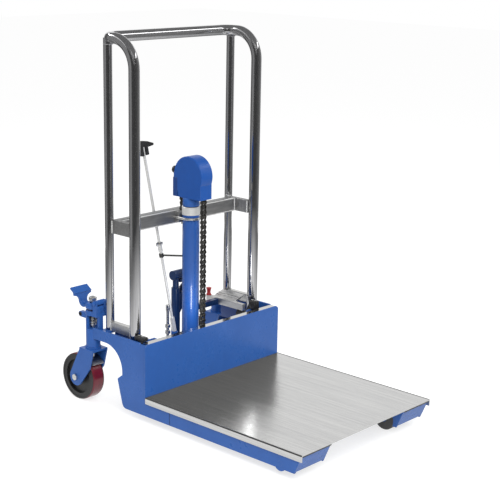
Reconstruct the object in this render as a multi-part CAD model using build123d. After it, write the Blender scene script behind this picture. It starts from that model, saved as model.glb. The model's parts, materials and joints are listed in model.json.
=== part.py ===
from build123d import *
import os
from math import atan2, cos, degrees, pi, radians, sin, sqrt, tan

# Portable hydraulic platform lift. Lengths are in millimetres, +Z is up and the floor is Z = 0.
# The model is drawn with the apron's front face on Y = 0, the deck towards -Y and the mast towards +Y.
# The operator stands behind the mast, so the right-hand side is -X.

# Fits
RUN_FIT = 0.05
AIR = 0.3
SEAT = 0.5

# Deck and carriage
DECK_WIDTH = 600.0
DECK_LENGTH = 615.0
DECK_TOP = 85.0
DECK_SHEET = 3.0
DECK_LIP = 20.0
DECK_BEND = 4.0
APRON_TOP = 249.0
APRON_SHEET = 3.0
APRON_CORNER = 14.0
TONGUE_WIDTH = 290.0
TONGUE_DROP = 38.0
LEDGE_DEPTH = 23.0
LEDGE_SHEET = 3.0
RAIL_SPREAD = 200.0
RAIL_WIDTH = 40.0
RAIL_HEIGHT = 35.0
RAIL_WALL = 4.0
RAIL_LENGTH = 560.0
CROSS_COUNT = 3
CROSS_WIDTH = 30.0

# Legs and side plates
SIDE_SHEET = 6.0
LEG_SHEET = 4.0
LEG_WIDTH = 125.0
LEG_BOTTOM = 23.0
LIP_GAP = 1.5
NOSE_INSET = 3.0
NOSE_SETBACK = 25.0
NOSE_CLEAR = 5.0
SEAM_AHEAD = 88.0
SEAM_SLANT = 24.0
SHOULDER_LENGTH = 24.0
SHOULDER_RISE = 3.0
ARM_HEIGHT = 34.5
ARCH_RADIUS = 77.0
ARCH_FRONT = 107.0
HEEL_REACH = 129.0
HEEL_HEIGHT = 112.0
HEEL_FOOT = 104.0
HEEL_NECK = 16.0
HEEL_ROUND = 18.0
HEEL_NOSE = 6.0

# Base plate between the side plates
BASE_FRONT = 56.0
BASE_SHOULDER = 118.0
BASE_BACK = 226.0
BASE_TAIL_WIDTH = 260.0
BASE_LEVEL = 50.0
BASE_SHEET = 6.0
BASE_CURB = 44.0

# Load wheels in the legs
LOAD_WHEEL_D = 75.0
LOAD_WHEEL_WIDTH = 40.0
LOAD_AXLE_D = 16.0
LOAD_AXLE_BACK = 80.0
LOAD_WALL_GAP = 3.5
LOAD_ARCH_GAP = 3.0
LOBE_RADIUS = 22.0
HANGER_WIDTH = 48.0
HANGER_FOOT = 18.0

# Mast
MAST_INSET = 38.0
FRONT_TUBE_D = 33.7
REAR_TUBE_D = 26.9
TUBE_WALL = 2.5
FRONT_TUBE_Y = 84.0
REAR_TUBE_Y = 198.0
CROSSBAR_Y = 213.0
CROSSBAR_Z = 1139.0
BACK_BEND = 85.0
CORNER_BEND = 40.0
SHELF_TOP = 245.0
SHELF_MARGIN = 1.0
SHELF_BACK = 6.5
MID_BAR_Z = 553.0
MID_BAR_HEIGHT = 44.0
MID_BAR_DEPTH = 28.0
END_PIECE_WIDTH = 20.0
TIE_BOTTOM = 246.0
TIE_HEIGHT = 29.0
TIE_WIDTH = 16.0

# Lift cylinder
CYLINDER_Y = 111.0
BARREL_D = 54.0
BORE_D = 44.0
BARREL_TOP = 586.0
BARREL_FOOT_D = 58.0
FOOT_HEIGHT = 10.0
GLAND_D = 57.0
GLAND_HEIGHT = 25.0
RAM_D = 35.0
PISTON_HEIGHT = 40.0
RAM_FOOT = 34.0

# Chain and chain wheel
PITCH = 15.875
TEETH = 18
ROLLER_D = 10.16
INNER_WIDTH = 9.65
LINK_PLATE = 1.7
LINK_HEIGHT = 14.2
LINK_GAP = 0.08
PIN_HEAD_D = 6.4
PIN_HEAD = 0.9
TOOTH_HEIGHT = 4.1
TOOTH_FLANK = 24.0
TOOTH_GAP = 0.25
WHEEL_FACE = 9.0
WHEEL_HUB_D = 36.0
WHEEL_HUB_WIDTH = 24.0
WHEEL_AXLE_D = 16.0
WHEEL_Y = 102.0
FRONT_LINKS = 33
REAR_LINKS = 7

# Yoke and hood on the ram
NECK_D = 43.0
NECK_HEIGHT = 28.5
YOKE_BASE = 19.5
YOKE_DEPTH = 50.0
YOKE_GAP = 1.0
YOKE_PLATE = 5.0
YOKE_WIDTH = 32.0
YOKE_CLEAR = 1.5
HOOD_WIDTH = 50.0
HOOD_WALL = 1.5
HOOD_GAP = 6.7
HOOD_FRONT = 55.5
HOOD_BACK_FOOT = 38.0
HOOD_BACK = 50.0
HOOD_BACK_DROP = 35.0
SKIRT_WIDTH = 44.0
SKIRT_BACK = 64.5
SKIRT_TOP = 14.0

# Carriage guides
GROOVE_ROOT = 17.0
ROLLER_RIM = 23.0
ROLLER_WIDTH = 38.0
ROLLER_AXLE_D = 14.0
ROLLER_COLLAR_D = 24.0
ROLLER_CAP = 3.5
ROLLER_LOW = 120.0
ROLLER_HIGH = 215.0
BRACKET_WIDTH = 44.0
BRACKET_DEPTH = 60.0
BRACKET_SHEET = 5.0
BRACKET_MARGIN = 24.0

# Chain ends
LUG_WIDTH = 12.6
LUG_ROUND = 7.0
LUG_FOOT_WIDTH = 50.0
LUG_FOOT = 6.0
LUG_FOOT_HEIGHT = 70.0
ANCHOR_D = 10.0
ANCHOR_NUT = 8.0
SADDLE_WIDTH = 36.0
SADDLE_HEIGHT = 20.0
U_BOLT_D = 8.0
U_BOLT_NUT = 6.5

# Pump and valve block
PUMP_Y = 178.0
PUMP_D = 28.5
PUMP_TOP = 333.0
PLUNGER_D = 20.0
PLUNGER_DEPTH = 90.0
HEAD_D = 31.0
HEAD_LEFT = 28.0
HEAD_RIGHT = 15.0
HEAD_Z = 375.0
BLOCK_LEFT = 40.0
BLOCK_RIGHT = 72.0
BLOCK_HEIGHT = 54.0
BLOCK_BACK = 220.0
VALVE_D = 22.0
VALVE_X = -23.0
VALVE_Y = 160.0
VALVE_HEIGHT = 85.0
STEM_D = 10.0
STEM_ASIDE = 30.0
STEM_HEIGHT = 160.0
STEM_NUT = 10.0
KNOB_D = 13.0
KNOB_HEIGHT = 20.0
PIVOT_X = 62.0
PIVOT_Z = 345.0
PIVOT_D = 12.0
PIVOT_BOSS_D = 26.0
PIVOT_EAR = 5.0

# Foot pedal
LEVER_WIDTH = 18.0
LEVER_DEPTH = 16.0
FINGER_HEIGHT = 10.0
FINGER_REACH = 13.0
LEVER_X = 80.0
LEVER_BEND = 20.0
PEDAL_INSET = 58.0
PEDAL_WIDTH = 42.5
PEDAL_FRONT = 105.0
PEDAL_BACK = 202.0
PEDAL_Z = 257.0
PEDAL_RISE = 13.5
PEDAL_SHEET = 4.0
PEDAL_BAR = 14.0
PEDAL_BAR_HEIGHT = 17.0
PEDAL_BAR_FRONT = 60.0
PEDAL_BAR_BACK = 226.0
RIB_COUNT = 2
RIB_STEP = 10.0
RIB_HEIGHT = 2.5
RIB_WIDTH = 4.0

# Release rod
RELEASE_D = 9.0
RELEASE_TOP_X = -110.5
RELEASE_TOP_Y = 212.0
RELEASE_TOP_Z = 798.5
GUIDE_Z = 450.0
GUIDE_D = 15.0
GUIDE_HEIGHT = 12.0
STAY_D = 6.0
CLAMP_D = 14.0
CLAMP_HEIGHT = 24.0
WING_SPAN = 26.0
SOCKET_D = 15.0
SOCKET_HEIGHT = 46.0
HANDLE_DEPTH = 14.0
HANDLE_HALF = 15.0
HANDLE_HEAD = 20.0
HANDLE_BROW = 14.0
HANDLE_LEG = 28.0
HANDLE_REACH = 39.5
HANDLE_TIP_D = 8.4
HANDLE_ROUND = 2.5

# Casters
CASTER_INSET = 20.0
CASTER_Y = 258.0
CASTER_TRAIL = 50.0
WHEEL_D = 150.0
WHEEL_WIDTH = 44.0
TREAD_DEPTH = 8.0
TREAD_ROUND = 5.5
HUB_D = 42.0
WEB_WIDTH = 26.0
RIM_DEPTH = 12.0
FORK_GAP = 4.0
FORK_SHEET = 5.0
FORK_EYE = 28.0
FORK_BELLY = 23.0
BELLY_BACK = 5.0
BELLY_Z = 125.0
CROWN_LENGTH = 63.0
CROWN_Z = 172.0
CROWN_SHEET = 6.0
RACE_D = 50.0
RACE_HEIGHT = 6.0
CASTER_AXLE_D = 12.0
AXLE_HEAD = 7.0
POST_D = 45.0
POST_TOP = 300.0
PLAIN_POST_TOP = 226.0
KING_HEAD = 6.0
WINDOW_BOTTOM = 243.0
WINDOW_TOP = 286.0
WINDOW_D = 24.0
WINDOW_BACK = 3.0
STRUT_WIDTH = 16.0
STRUT_DEPTH = 8.5
STRUT_BOTTOM = 230.0
EYE_REACH = 53.0
EYE_Z = 277.0
EYE_D = 18.0
EYE_HOLE = 8.0
EYE_WIDTH = 12.0

# Caster brake
ROD_D = 10.0
ROD_TRAVEL = 4.0
ROD_TIP_D = 4.0
ROD_TIP = 5.0
ROD_END = 5.0
PLUG_D = 18.0
PLUG_HEIGHT = 26.0
SHOULDER_D = 22.0
SHOULDER_HEIGHT = 6.0
ROD_NUT = 10.0
PEDAL_PIVOT_AHEAD = 30.0
PEDAL_PIVOT_Z = 330.0
PEDAL_HUB_D = 17.0
PEDAL_PIN_D = 8.0
ARM_WIDTH = 28.0
ARM_SHEET = 8.0
EAR_SHEET = 5.0
ARM_DIP_Y = 44.0
ARM_DIP_Z = 304.0
ARM_BEND = 16.0
PAD_WIDTH = 66.0
PAD_FRONT = 45.5
PAD_NECK = 51.0
PAD_BACK = 68.0
PAD_Z = 347.0
PAD_RISE = 15.0
PAD_SHEET = 6.0
SHOE_GAP = 1.0
SHOE_SHEET = 4.0
SHOE_WIDTH = 46.0
SHOE_FROM = 16.0
SHOE_TO = 56.0
SHOE_PIN_BACK = 22.0
SHOE_PIN_Z = 162.0
SHOE_PIN_D = 6.0
SHOE_BARREL_D = 10.0

# Places worked out from the sizes above
REAR_REACH = CASTER_Y + CASTER_TRAIL + WHEEL_D / 2
FRAME = Pos(0, (DECK_LENGTH - REAR_REACH) / 2, 0)
SIDES = {"right": -1, "left": 1}
BRAKED = ("right",)
MAST_X = DECK_WIDTH / 2 - MAST_INSET
CASTER_X = DECK_WIDTH / 2 - CASTER_INSET
PEDAL_X = MAST_X - PEDAL_INSET
SIDE_OUT = DECK_WIDTH / 2 - DECK_SHEET - LIP_GAP
SIDE_IN = SIDE_OUT - SIDE_SHEET
LEG_IN = SIDE_OUT - LEG_WIDTH
LEG_TOP = DECK_TOP - DECK_SHEET - SEAT
PLATE_FRONT = APRON_SHEET + LIP_GAP
BASE_TOP = BASE_LEVEL + BASE_SHEET
LOAD_RADIUS = LOAD_WHEEL_D / 2
LOAD_Y = LOAD_AXLE_BACK - DECK_LENGTH
LOAD_IN = LEG_IN + LEG_SHEET + LOAD_WALL_GAP
LOAD_OUT = LOAD_IN + LOAD_WHEEL_WIDTH
ROLLER_X = MAST_X - FRONT_TUBE_D / 2 - GROOVE_ROOT
BRACKET_BACK = BRACKET_DEPTH
MID_BAR_BACK = REAR_TUBE_Y - REAR_TUBE_D / 2
MID_BAR_FRONT = MID_BAR_BACK - MID_BAR_DEPTH
MID_BAR_MIDDLE = MID_BAR_Z + MID_BAR_HEIGHT / 2
PITCH_RADIUS = PITCH / 2 / sin(pi / TEETH)
TIP_RADIUS = PITCH_RADIUS + TOOTH_HEIGHT
YOKE_BOTTOM = BARREL_TOP + GLAND_HEIGHT + SEAT
NECK_TOP = YOKE_BOTTOM + NECK_HEIGHT
WHEEL_Z = NECK_TOP + YOKE_BASE + YOKE_CLEAR + TIP_RADIUS
FRONT_CHAIN_Y = WHEEL_Y - PITCH_RADIUS
REAR_CHAIN_Y = WHEEL_Y + PITCH_RADIUS
LUG_Z = WHEEL_Z - FRONT_LINKS * PITCH
ANCHOR_Z = WHEEL_Z - REAR_LINKS * PITCH
OUTER_LINK_IN = INNER_WIDTH / 2 + LINK_PLATE + LINK_GAP
HOOD_RADIUS = PITCH_RADIUS + LINK_HEIGHT / 2 + HOOD_GAP
VALVE_TOP = BASE_TOP + BLOCK_HEIGHT + VALVE_HEIGHT
AXLE_Y = CASTER_Y + CASTER_TRAIL
WHEEL_RADIUS = WHEEL_D / 2
FORK_IN = WHEEL_WIDTH / 2 + FORK_GAP
FORK_OUT = FORK_IN + FORK_SHEET
POST_BOTTOM = CROWN_Z + CROWN_SHEET + RACE_HEIGHT
PEDAL_PIVOT_Y = CASTER_Y - PEDAL_PIVOT_AHEAD
ARM_TILT = atan2(PEDAL_PIVOT_Z - ARM_DIP_Z, PEDAL_PIVOT_AHEAD + ARM_DIP_Y)
PEDAL_TURN = ROD_TRAVEL * cos(ARM_TILT) ** 2 / (PEDAL_PIVOT_AHEAD + SHOULDER_D / 2)
SHOE_TURN = ROD_TRAVEL / SHOE_PIN_BACK


def block(x0, x1, y0, y1, z0, z1):
    """Box between two corners."""
    return Pos(x0, y0, z0) * Box(x1 - x0, y1 - y0, z1 - z0, align=(Align.MIN, Align.MIN, Align.MIN))


def rod_z(x, y, z0, z1, diameter):
    """Round bar standing up."""
    return Pos(x, y, z0) * Cylinder(diameter / 2, z1 - z0, align=(Align.CENTER, Align.CENTER, Align.MIN))


def rod_x(x0, x1, y, z, diameter):
    """Round bar across the lift."""
    return Pos(x0, y, z) * Rot(0, 90, 0) * Cylinder(
        diameter / 2, x1 - x0, align=(Align.CENTER, Align.CENTER, Align.MIN))


def rod_y(x, y0, y1, z, diameter):
    """Round bar along the lift."""
    return Pos(x, y0, z) * Rot(-90, 0, 0) * Cylinder(
        diameter / 2, y1 - y0, align=(Align.CENTER, Align.CENTER, Align.MIN))


def hexagon_z(x, y, z0, z1, across):
    """Hexagon nut standing up, by its width across flats."""
    return Pos(x, y, z0) * extrude(RegularPolygon(across / 2, 6, major_radius=False), z1 - z0)


def hexagon_x(x0, x1, y, z, across):
    """Hexagon bolt head across the lift."""
    return Pos(x0, y, z) * Rot(0, 90, 0) * extrude(RegularPolygon(across / 2, 6, major_radius=False), x1 - x0)


def hexagon_y(x, y0, y1, z, across):
    """Hexagon nut along the lift."""
    return Pos(x, y0, z) * Rot(-90, 0, 0) * extrude(RegularPolygon(across / 2, 6, major_radius=False), y1 - y0)


def slab_x(face, x0, x1):
    """Face drawn in Y and Z, as thick as x0 to x1."""
    return extrude(Plane.YZ.offset(x0) * face, x1 - x0)


def slab_y(face, y0, y1):
    """Face drawn in X and Z, as thick as y0 to y1."""
    return extrude(Plane.XZ.offset(-y1) * face, y1 - y0)


def slab_z(face, z0, z1):
    """Face drawn in X and Y, as thick as z0 to z1."""
    return extrude(Plane.XY.offset(z0) * face, z1 - z0)


def polygon(*points):
    """Closed face through the points."""
    return make_face(Polyline(*points, close=True))


def rounded(face, point, radius):
    """Face with the corner nearest to a point rounded."""
    corner = face.vertices().sort_by_distance(Vector(*point, 0))[0]
    return fillet(corner, radius)


def rectangle(x0, x1, y0, y1):
    """Rectangle between two corners."""
    return Pos((x0 + x1) / 2, (y0 + y1) / 2) * Rectangle(x1 - x0, y1 - y0)


def on_side(shape, side):
    """Shape drawn on the left-hand side, put on the side that is named."""
    return shape if SIDES[side] > 0 else mirror(shape, about=Plane.YZ)


def turned(shape, angle, axis_y, axis_z):
    """Shape turned about an axis across the lift, by an angle in radians."""
    return shape.rotate(Axis((0, axis_y, axis_z), (1, 0, 0)), degrees(angle))


# Deck, apron and what hangs from them
def deck_plate():
    outer = rectangle(-DECK_WIDTH / 2, DECK_WIDTH / 2, DECK_TOP - DECK_LIP, DECK_TOP)
    for end in (-1, 1):
        outer = rounded(outer, (end * DECK_WIDTH / 2, DECK_TOP), DECK_BEND)
    inside = DECK_WIDTH / 2 - DECK_SHEET
    inner = rectangle(-inside, inside, DECK_TOP - DECK_LIP, DECK_TOP - DECK_SHEET)
    return slab_y(outer - inner, -DECK_LENGTH, 0)


def apron_panel():
    bottom = DECK_TOP - DECK_SHEET
    face = rectangle(-DECK_WIDTH / 2, DECK_WIDTH / 2, bottom, APRON_TOP)
    for end in (-1, 1):
        face = rounded(face, (end * DECK_WIDTH / 2, APRON_TOP), APRON_CORNER)
    face += rectangle(-TONGUE_WIDTH / 2, TONGUE_WIDTH / 2, bottom - TONGUE_DROP, bottom)
    return slab_y(face, 0, APRON_SHEET)


def apron_ledge():
    reach = DECK_WIDTH / 2 - APRON_CORNER
    return block(-reach, reach, APRON_SHEET, LEDGE_DEPTH, APRON_TOP - LEDGE_SHEET, APRON_TOP)


def deck_frame():
    top = DECK_TOP - DECK_SHEET
    half = RAIL_WIDTH / 2
    channel = rectangle(-half, half, top - RAIL_HEIGHT, top)
    channel -= rectangle(RAIL_WALL - half, half - RAIL_WALL, top - RAIL_HEIGHT, top - RAIL_WALL)
    frame = Part()
    for end in (-1, 1):
        frame += Pos(end * RAIL_SPREAD / 2, 0, 0) * slab_y(channel, -RAIL_LENGTH, 0)
    reach = RAIL_SPREAD / 2 - half
    step = (RAIL_LENGTH - CROSS_WIDTH) / CROSS_COUNT
    for place in range(CROSS_COUNT):
        back = -(place + 1) * step
        frame += block(-reach, reach, back - CROSS_WIDTH, back, top - RAIL_WALL, top)
        frame += block(-reach, reach, back - RAIL_WALL, back, top - RAIL_HEIGHT, top)
    return frame


def guide_bracket(side):
    half = BRACKET_WIDTH / 2
    shape = rectangle(-half, half, APRON_SHEET, BRACKET_BACK)
    shape -= rectangle(BRACKET_SHEET - half, half - BRACKET_SHEET, APRON_SHEET, BRACKET_BACK - BRACKET_SHEET)
    channel = slab_z(shape, ROLLER_LOW - BRACKET_MARGIN, ROLLER_HIGH + BRACKET_MARGIN)
    return on_side(Pos(ROLLER_X, 0, 0) * channel, side)


def roller_axles():
    front = FRONT_TUBE_Y - ROLLER_WIDTH / 2
    back = FRONT_TUBE_Y + ROLLER_WIDTH / 2 + AIR
    axle = rod_y(0, BRACKET_BACK, back + ROLLER_CAP, 0, ROLLER_AXLE_D)
    axle += rod_y(0, BRACKET_BACK, front - AIR, 0, ROLLER_COLLAR_D)
    axle += rod_y(0, back, back + ROLLER_CAP, 0, ROLLER_COLLAR_D)
    places = [Pos(end * ROLLER_X, 0, z) for end in (-1, 1) for z in (ROLLER_LOW, ROLLER_HIGH)]
    return Compound([place * axle.solid() for place in places])


def guide_roller(side, height):
    bore = ROLLER_AXLE_D / 2 + RUN_FIT
    half = ROLLER_WIDTH / 2
    groove = FRONT_TUBE_D / 2 + AIR
    root = GROOVE_ROOT - AIR
    lip = sqrt(groove ** 2 - (root + groove - ROLLER_RIM) ** 2)
    profile = make_face([
        Line((bore, -half), (ROLLER_RIM, -half)),
        Line((ROLLER_RIM, -half), (ROLLER_RIM, -lip)),
        ThreePointArc((ROLLER_RIM, -lip), (root, 0), (ROLLER_RIM, lip)),
        Line((ROLLER_RIM, lip), (ROLLER_RIM, half)),
        Line((ROLLER_RIM, half), (bore, half)),
        Line((bore, half), (bore, -half)),
    ])
    return Pos(SIDES[side] * ROLLER_X, FRONT_TUBE_Y, height) * revolve(profile, Axis.Y)


def chain_lug():
    tongue = rectangle(APRON_SHEET, FRONT_CHAIN_Y, LUG_Z - LUG_ROUND, LUG_Z + LUG_ROUND)
    tongue += Pos(FRONT_CHAIN_Y, LUG_Z) * Circle(LUG_ROUND)
    foot_bottom = LUG_Z + LUG_ROUND - LUG_FOOT_HEIGHT
    tongue += polygon((APRON_SHEET, foot_bottom), (FRONT_CHAIN_Y - LUG_ROUND, LUG_Z), (APRON_SHEET, LUG_Z))
    lug = slab_x(tongue, -LUG_WIDTH / 2, LUG_WIDTH / 2)
    half = LUG_FOOT_WIDTH / 2
    return lug + block(-half, half, APRON_SHEET, APRON_SHEET + LUG_FOOT, foot_bottom, LUG_Z + LUG_ROUND)


# Legs, side plates and base plate
def leg(side):
    nose = NOSE_INSET - DECK_LENGTH
    heel = nose + NOSE_SETBACK
    axle_hole = Pos(LOAD_Y, LOAD_RADIUS) * Circle(LOAD_AXLE_D / 2 + RUN_FIT)
    seam_foot = -SEAM_AHEAD - SEAM_SLANT
    wall = polygon((nose, LEG_TOP), (heel, LEG_BOTTOM), (seam_foot, LEG_BOTTOM), (-SEAM_AHEAD, LEG_TOP))
    wall += Pos(LOAD_Y, LOAD_RADIUS) * Circle(LOBE_RADIUS)
    body = slab_x(wall - axle_hole, SIDE_IN, SIDE_OUT)
    inner = polygon((nose, LEG_TOP), (heel, LEG_BOTTOM), (BASE_FRONT, LEG_BOTTOM), (BASE_FRONT, LEG_TOP))
    inner -= Pos(LOAD_Y, LOAD_RADIUS) * Circle(LOAD_RADIUS + LOAD_ARCH_GAP)
    body += slab_x(inner, LEG_IN, LEG_IN + LEG_SHEET)
    body += block(LEG_IN, SIDE_IN, nose + LEG_SHEET, BASE_FRONT, LEG_TOP - LEG_SHEET, LEG_TOP)
    edge = LEG_BOTTOM + NOSE_CLEAR
    edge_y = nose + NOSE_SETBACK * (LEG_TOP - edge) / (LEG_TOP - LEG_BOTTOM)
    front = polygon((nose, LEG_TOP), (edge_y, edge), (edge_y + LEG_SHEET, edge), (nose + LEG_SHEET, LEG_TOP))
    body += slab_x(front, LEG_IN, SIDE_OUT)
    hanger = rectangle(LOAD_Y - HANGER_WIDTH / 2, LOAD_Y + HANGER_WIDTH / 2, HANGER_FOOT, LEG_TOP)
    hanger_in = LOAD_OUT + LOAD_WALL_GAP
    body += slab_x(hanger - axle_hole, hanger_in, hanger_in + LEG_SHEET)
    return on_side(body, side)


def side_plate(side):
    stop = APRON_TOP - LEDGE_SHEET - SEAT
    arm_top = stop + SHOULDER_RISE
    arm_bottom = arm_top - ARM_HEIGHT
    neck = HEEL_HEIGHT + HEEL_NECK
    arm_end = min(arm_top, post_top(side))
    face = polygon(
        (PLATE_FRONT, stop), (PLATE_FRONT, LEG_TOP), (-SEAM_AHEAD, LEG_TOP),
        (-SEAM_AHEAD - SEAM_SLANT, LEG_BOTTOM), (HEEL_FOOT, LEG_BOTTOM), (HEEL_REACH, HEEL_HEIGHT),
        (ARCH_FRONT, neck), (ARCH_FRONT, arm_bottom), (CASTER_Y, arm_bottom), (CASTER_Y, arm_end),
        (CASTER_Y - arm_top + arm_end - POST_D / 2, arm_top),
        (PLATE_FRONT + SHOULDER_LENGTH + SHOULDER_RISE, arm_top), (PLATE_FRONT + SHOULDER_LENGTH, stop))
    for corner, radius in (((ARCH_FRONT, arm_bottom), ARCH_RADIUS), ((HEEL_FOOT, LEG_BOTTOM), HEEL_ROUND),
                           ((HEEL_REACH, HEEL_HEIGHT), HEEL_NOSE)):
        face = rounded(face, corner, radius)
    plate = slab_x(face, SIDE_IN, SIDE_OUT)
    reach = REAR_TUBE_D / 2 + SHELF_MARGIN
    plate += block(MAST_X - reach, SIDE_IN, REAR_TUBE_Y - reach, REAR_TUBE_Y + reach + SHELF_BACK,
                   SHELF_TOP - SIDE_SHEET, SHELF_TOP)
    plate -= rod_z(CASTER_X, CASTER_Y, 0, post_top(side), POST_D)
    return on_side(plate, side)


def base_plate():
    half = BASE_TAIL_WIDTH / 2
    wide = rectangle(BASE_FRONT, BASE_SHOULDER, BASE_LEVEL, BASE_TOP)
    wide += rectangle(BASE_FRONT, BASE_FRONT + BASE_SHEET, LEG_BOTTOM, LEG_TOP)
    tail = rectangle(BASE_SHOULDER, BASE_BACK, BASE_LEVEL, BASE_TOP)
    tail += rectangle(BASE_BACK - BASE_SHEET, BASE_BACK, BASE_LEVEL, BASE_LEVEL + BASE_CURB)
    return slab_x(wide, -SIDE_IN, SIDE_IN) + slab_x(tail, -half, half)


def load_axles():
    washer = LOAD_AXLE_D + LOAD_ARCH_GAP * 2
    axle = rod_x(LOAD_IN - AIR, SIDE_OUT, LOAD_Y, LOAD_RADIUS, LOAD_AXLE_D)
    axle += rod_x(LOAD_IN - LOAD_WALL_GAP, LOAD_IN - AIR, LOAD_Y, LOAD_RADIUS, washer)
    axle += rod_x(LOAD_OUT + AIR, LOAD_OUT + LOAD_WALL_GAP, LOAD_Y, LOAD_RADIUS, washer)
    return Compound([on_side(axle, side).solid() for side in SIDES])


def load_wheel(side):
    wheel = rod_x(LOAD_IN, LOAD_OUT, LOAD_Y, LOAD_RADIUS, LOAD_WHEEL_D)
    wheel = chamfer(wheel.edges().filter_by(GeomType.CIRCLE), LOAD_ARCH_GAP)
    wheel -= rod_x(LOAD_IN, LOAD_OUT, LOAD_Y, LOAD_RADIUS, LOAD_AXLE_D + 2 * RUN_FIT)
    return on_side(wheel, side)


# Mast
def mast_path():
    return FilletPolyline(
        (-MAST_X, FRONT_TUBE_Y, BASE_TOP), (-MAST_X, FRONT_TUBE_Y, CROSSBAR_Z), (-MAST_X, CROSSBAR_Y, CROSSBAR_Z),
        (MAST_X, CROSSBAR_Y, CROSSBAR_Z), (MAST_X, FRONT_TUBE_Y, CROSSBAR_Z), (MAST_X, FRONT_TUBE_Y, BASE_TOP),
        radius=[BACK_BEND, CORNER_BEND, CORNER_BEND, BACK_BEND])


def mast_frame(wall=TUBE_WALL):
    foot = Pos(-MAST_X, FRONT_TUBE_Y, BASE_TOP)
    section = Circle(FRONT_TUBE_D / 2)
    if wall:
        section -= Circle(FRONT_TUBE_D / 2 - wall)
    return sweep(foot * section, path=mast_path())


def rear_uprights():
    upright = rod_z(MAST_X, REAR_TUBE_Y, SHELF_TOP, CROSSBAR_Z, REAR_TUBE_D)
    upright -= rod_z(MAST_X, REAR_TUBE_Y, SHELF_TOP, CROSSBAR_Z, REAR_TUBE_D - 2 * TUBE_WALL)
    upright -= mast_frame(wall=None)
    lower = upright.solids().sort_by(Axis.Z)[0]
    return Compound([lower, mirror(lower, about=Plane.YZ).solid()])


def tube_cuts():
    cuts = Part()
    for end in (-1, 1):
        cuts += rod_z(end * MAST_X, FRONT_TUBE_Y, 0, CROSSBAR_Z - BACK_BEND, FRONT_TUBE_D)
        cuts += rod_z(end * MAST_X, REAR_TUBE_Y, 0, CROSSBAR_Z - BACK_BEND, REAR_TUBE_D)
    return cuts


def mid_bar():
    top = MID_BAR_Z + MID_BAR_HEIGHT
    inner = MAST_X - END_PIECE_WIDTH / 2
    bar = block(-inner, inner, MID_BAR_FRONT, MID_BAR_BACK, MID_BAR_Z, top)
    for end in (-1, 1):
        x0, x1 = sorted((end * inner, end * (inner + END_PIECE_WIDTH)))
        bar += block(x0, x1, FRONT_TUBE_Y, REAR_TUBE_Y, MID_BAR_Z, top)
    half = SADDLE_WIDTH / 2
    low = MID_BAR_MIDDLE - SADDLE_HEIGHT / 2
    bar += block(-half, half, CYLINDER_Y, MID_BAR_FRONT, low, low + SADDLE_HEIGHT)
    bar -= rod_z(0, CYLINDER_Y, low, top, BARREL_D)
    bar -= rod_z(0, REAR_CHAIN_Y, low, top, ANCHOR_D + 2 * RUN_FIT)
    for end in (-1, 1):
        bar -= rod_y(end * u_bolt_reach(), MID_BAR_FRONT, MID_BAR_BACK, MID_BAR_MIDDLE, U_BOLT_D + 2 * RUN_FIT)
    return bar - tube_cuts()


def lower_ties():
    half = TIE_WIDTH / 2
    tie = block(MAST_X - half, MAST_X + half, FRONT_TUBE_Y, REAR_TUBE_Y, TIE_BOTTOM, TIE_BOTTOM + TIE_HEIGHT)
    tie -= tube_cuts()
    return Compound([on_side(tie, side).solid() for side in SIDES])


# Lift cylinder and ram
def cylinder_barrel():
    barrel = rod_z(0, CYLINDER_Y, BASE_TOP, BARREL_TOP, BARREL_D)
    barrel += rod_z(0, CYLINDER_Y, BASE_TOP, BASE_TOP + FOOT_HEIGHT, BARREL_FOOT_D)
    return barrel - rod_z(0, CYLINDER_Y, BASE_TOP + FOOT_HEIGHT, BARREL_TOP, BORE_D)


def gland_nut():
    gland = rod_z(0, CYLINDER_Y, BARREL_TOP, BARREL_TOP + GLAND_HEIGHT, GLAND_D)
    gland = chamfer(gland.edges().filter_by(GeomType.CIRCLE).group_by(Axis.Z)[-1], 2 * SEAT)
    return gland - rod_z(0, CYLINDER_Y, BARREL_TOP, BARREL_TOP + GLAND_HEIGHT, RAM_D + 2 * RUN_FIT)


def ram_rod():
    foot = BASE_TOP + RAM_FOOT
    ram = rod_z(0, CYLINDER_Y, foot, YOKE_BOTTOM, RAM_D)
    return ram + rod_z(0, CYLINDER_Y, foot, foot + PISTON_HEIGHT, BORE_D - 2 * RUN_FIT)


def chain_yoke():
    inner = WHEEL_HUB_WIDTH / 2 + YOKE_GAP
    outer = inner + YOKE_PLATE
    base = rectangle(-outer, outer, CYLINDER_Y - YOKE_DEPTH / 2, CYLINDER_Y + YOKE_DEPTH / 2)
    yoke = slab_z(base, NECK_TOP, NECK_TOP + YOKE_BASE)
    yoke += rod_z(0, CYLINDER_Y, YOKE_BOTTOM, NECK_TOP, NECK_D)
    half = YOKE_WIDTH / 2
    cheek = rectangle(WHEEL_Y - half, WHEEL_Y + half, NECK_TOP, WHEEL_Z)
    cheek += Pos(WHEEL_Y, WHEEL_Z) * Circle(half)
    cheek -= Pos(WHEEL_Y, WHEEL_Z) * Circle(WHEEL_AXLE_D / 2 + RUN_FIT)
    return yoke + slab_x(cheek, inner, outer) + slab_x(cheek, -outer, -inner)


def wheel_axle():
    reach = HOOD_WIDTH / 2 - HOOD_WALL
    return rod_x(-reach, reach, WHEEL_Y, WHEEL_Z, WHEEL_AXLE_D)


def hood_side(inset):
    """Lower part of the hood's side, under its round head, drawn in Y and Z."""
    front = WHEEL_Y - HOOD_FRONT + inset
    return polygon((front, WHEEL_Z), (front, NECK_TOP), (WHEEL_Y + HOOD_BACK_FOOT - inset, NECK_TOP),
                   (WHEEL_Y + HOOD_BACK - inset, WHEEL_Z - HOOD_BACK_DROP), (WHEEL_Y + HOOD_BACK - inset, WHEEL_Z))


def hood_skirt(inset):
    """Narrower cover over the rear run of the chain."""
    half = SKIRT_WIDTH / 2 - inset
    return block(-half, half, WHEEL_Y, WHEEL_Y + SKIRT_BACK - inset, NECK_TOP, WHEEL_Z + SKIRT_TOP - inset)


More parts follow.
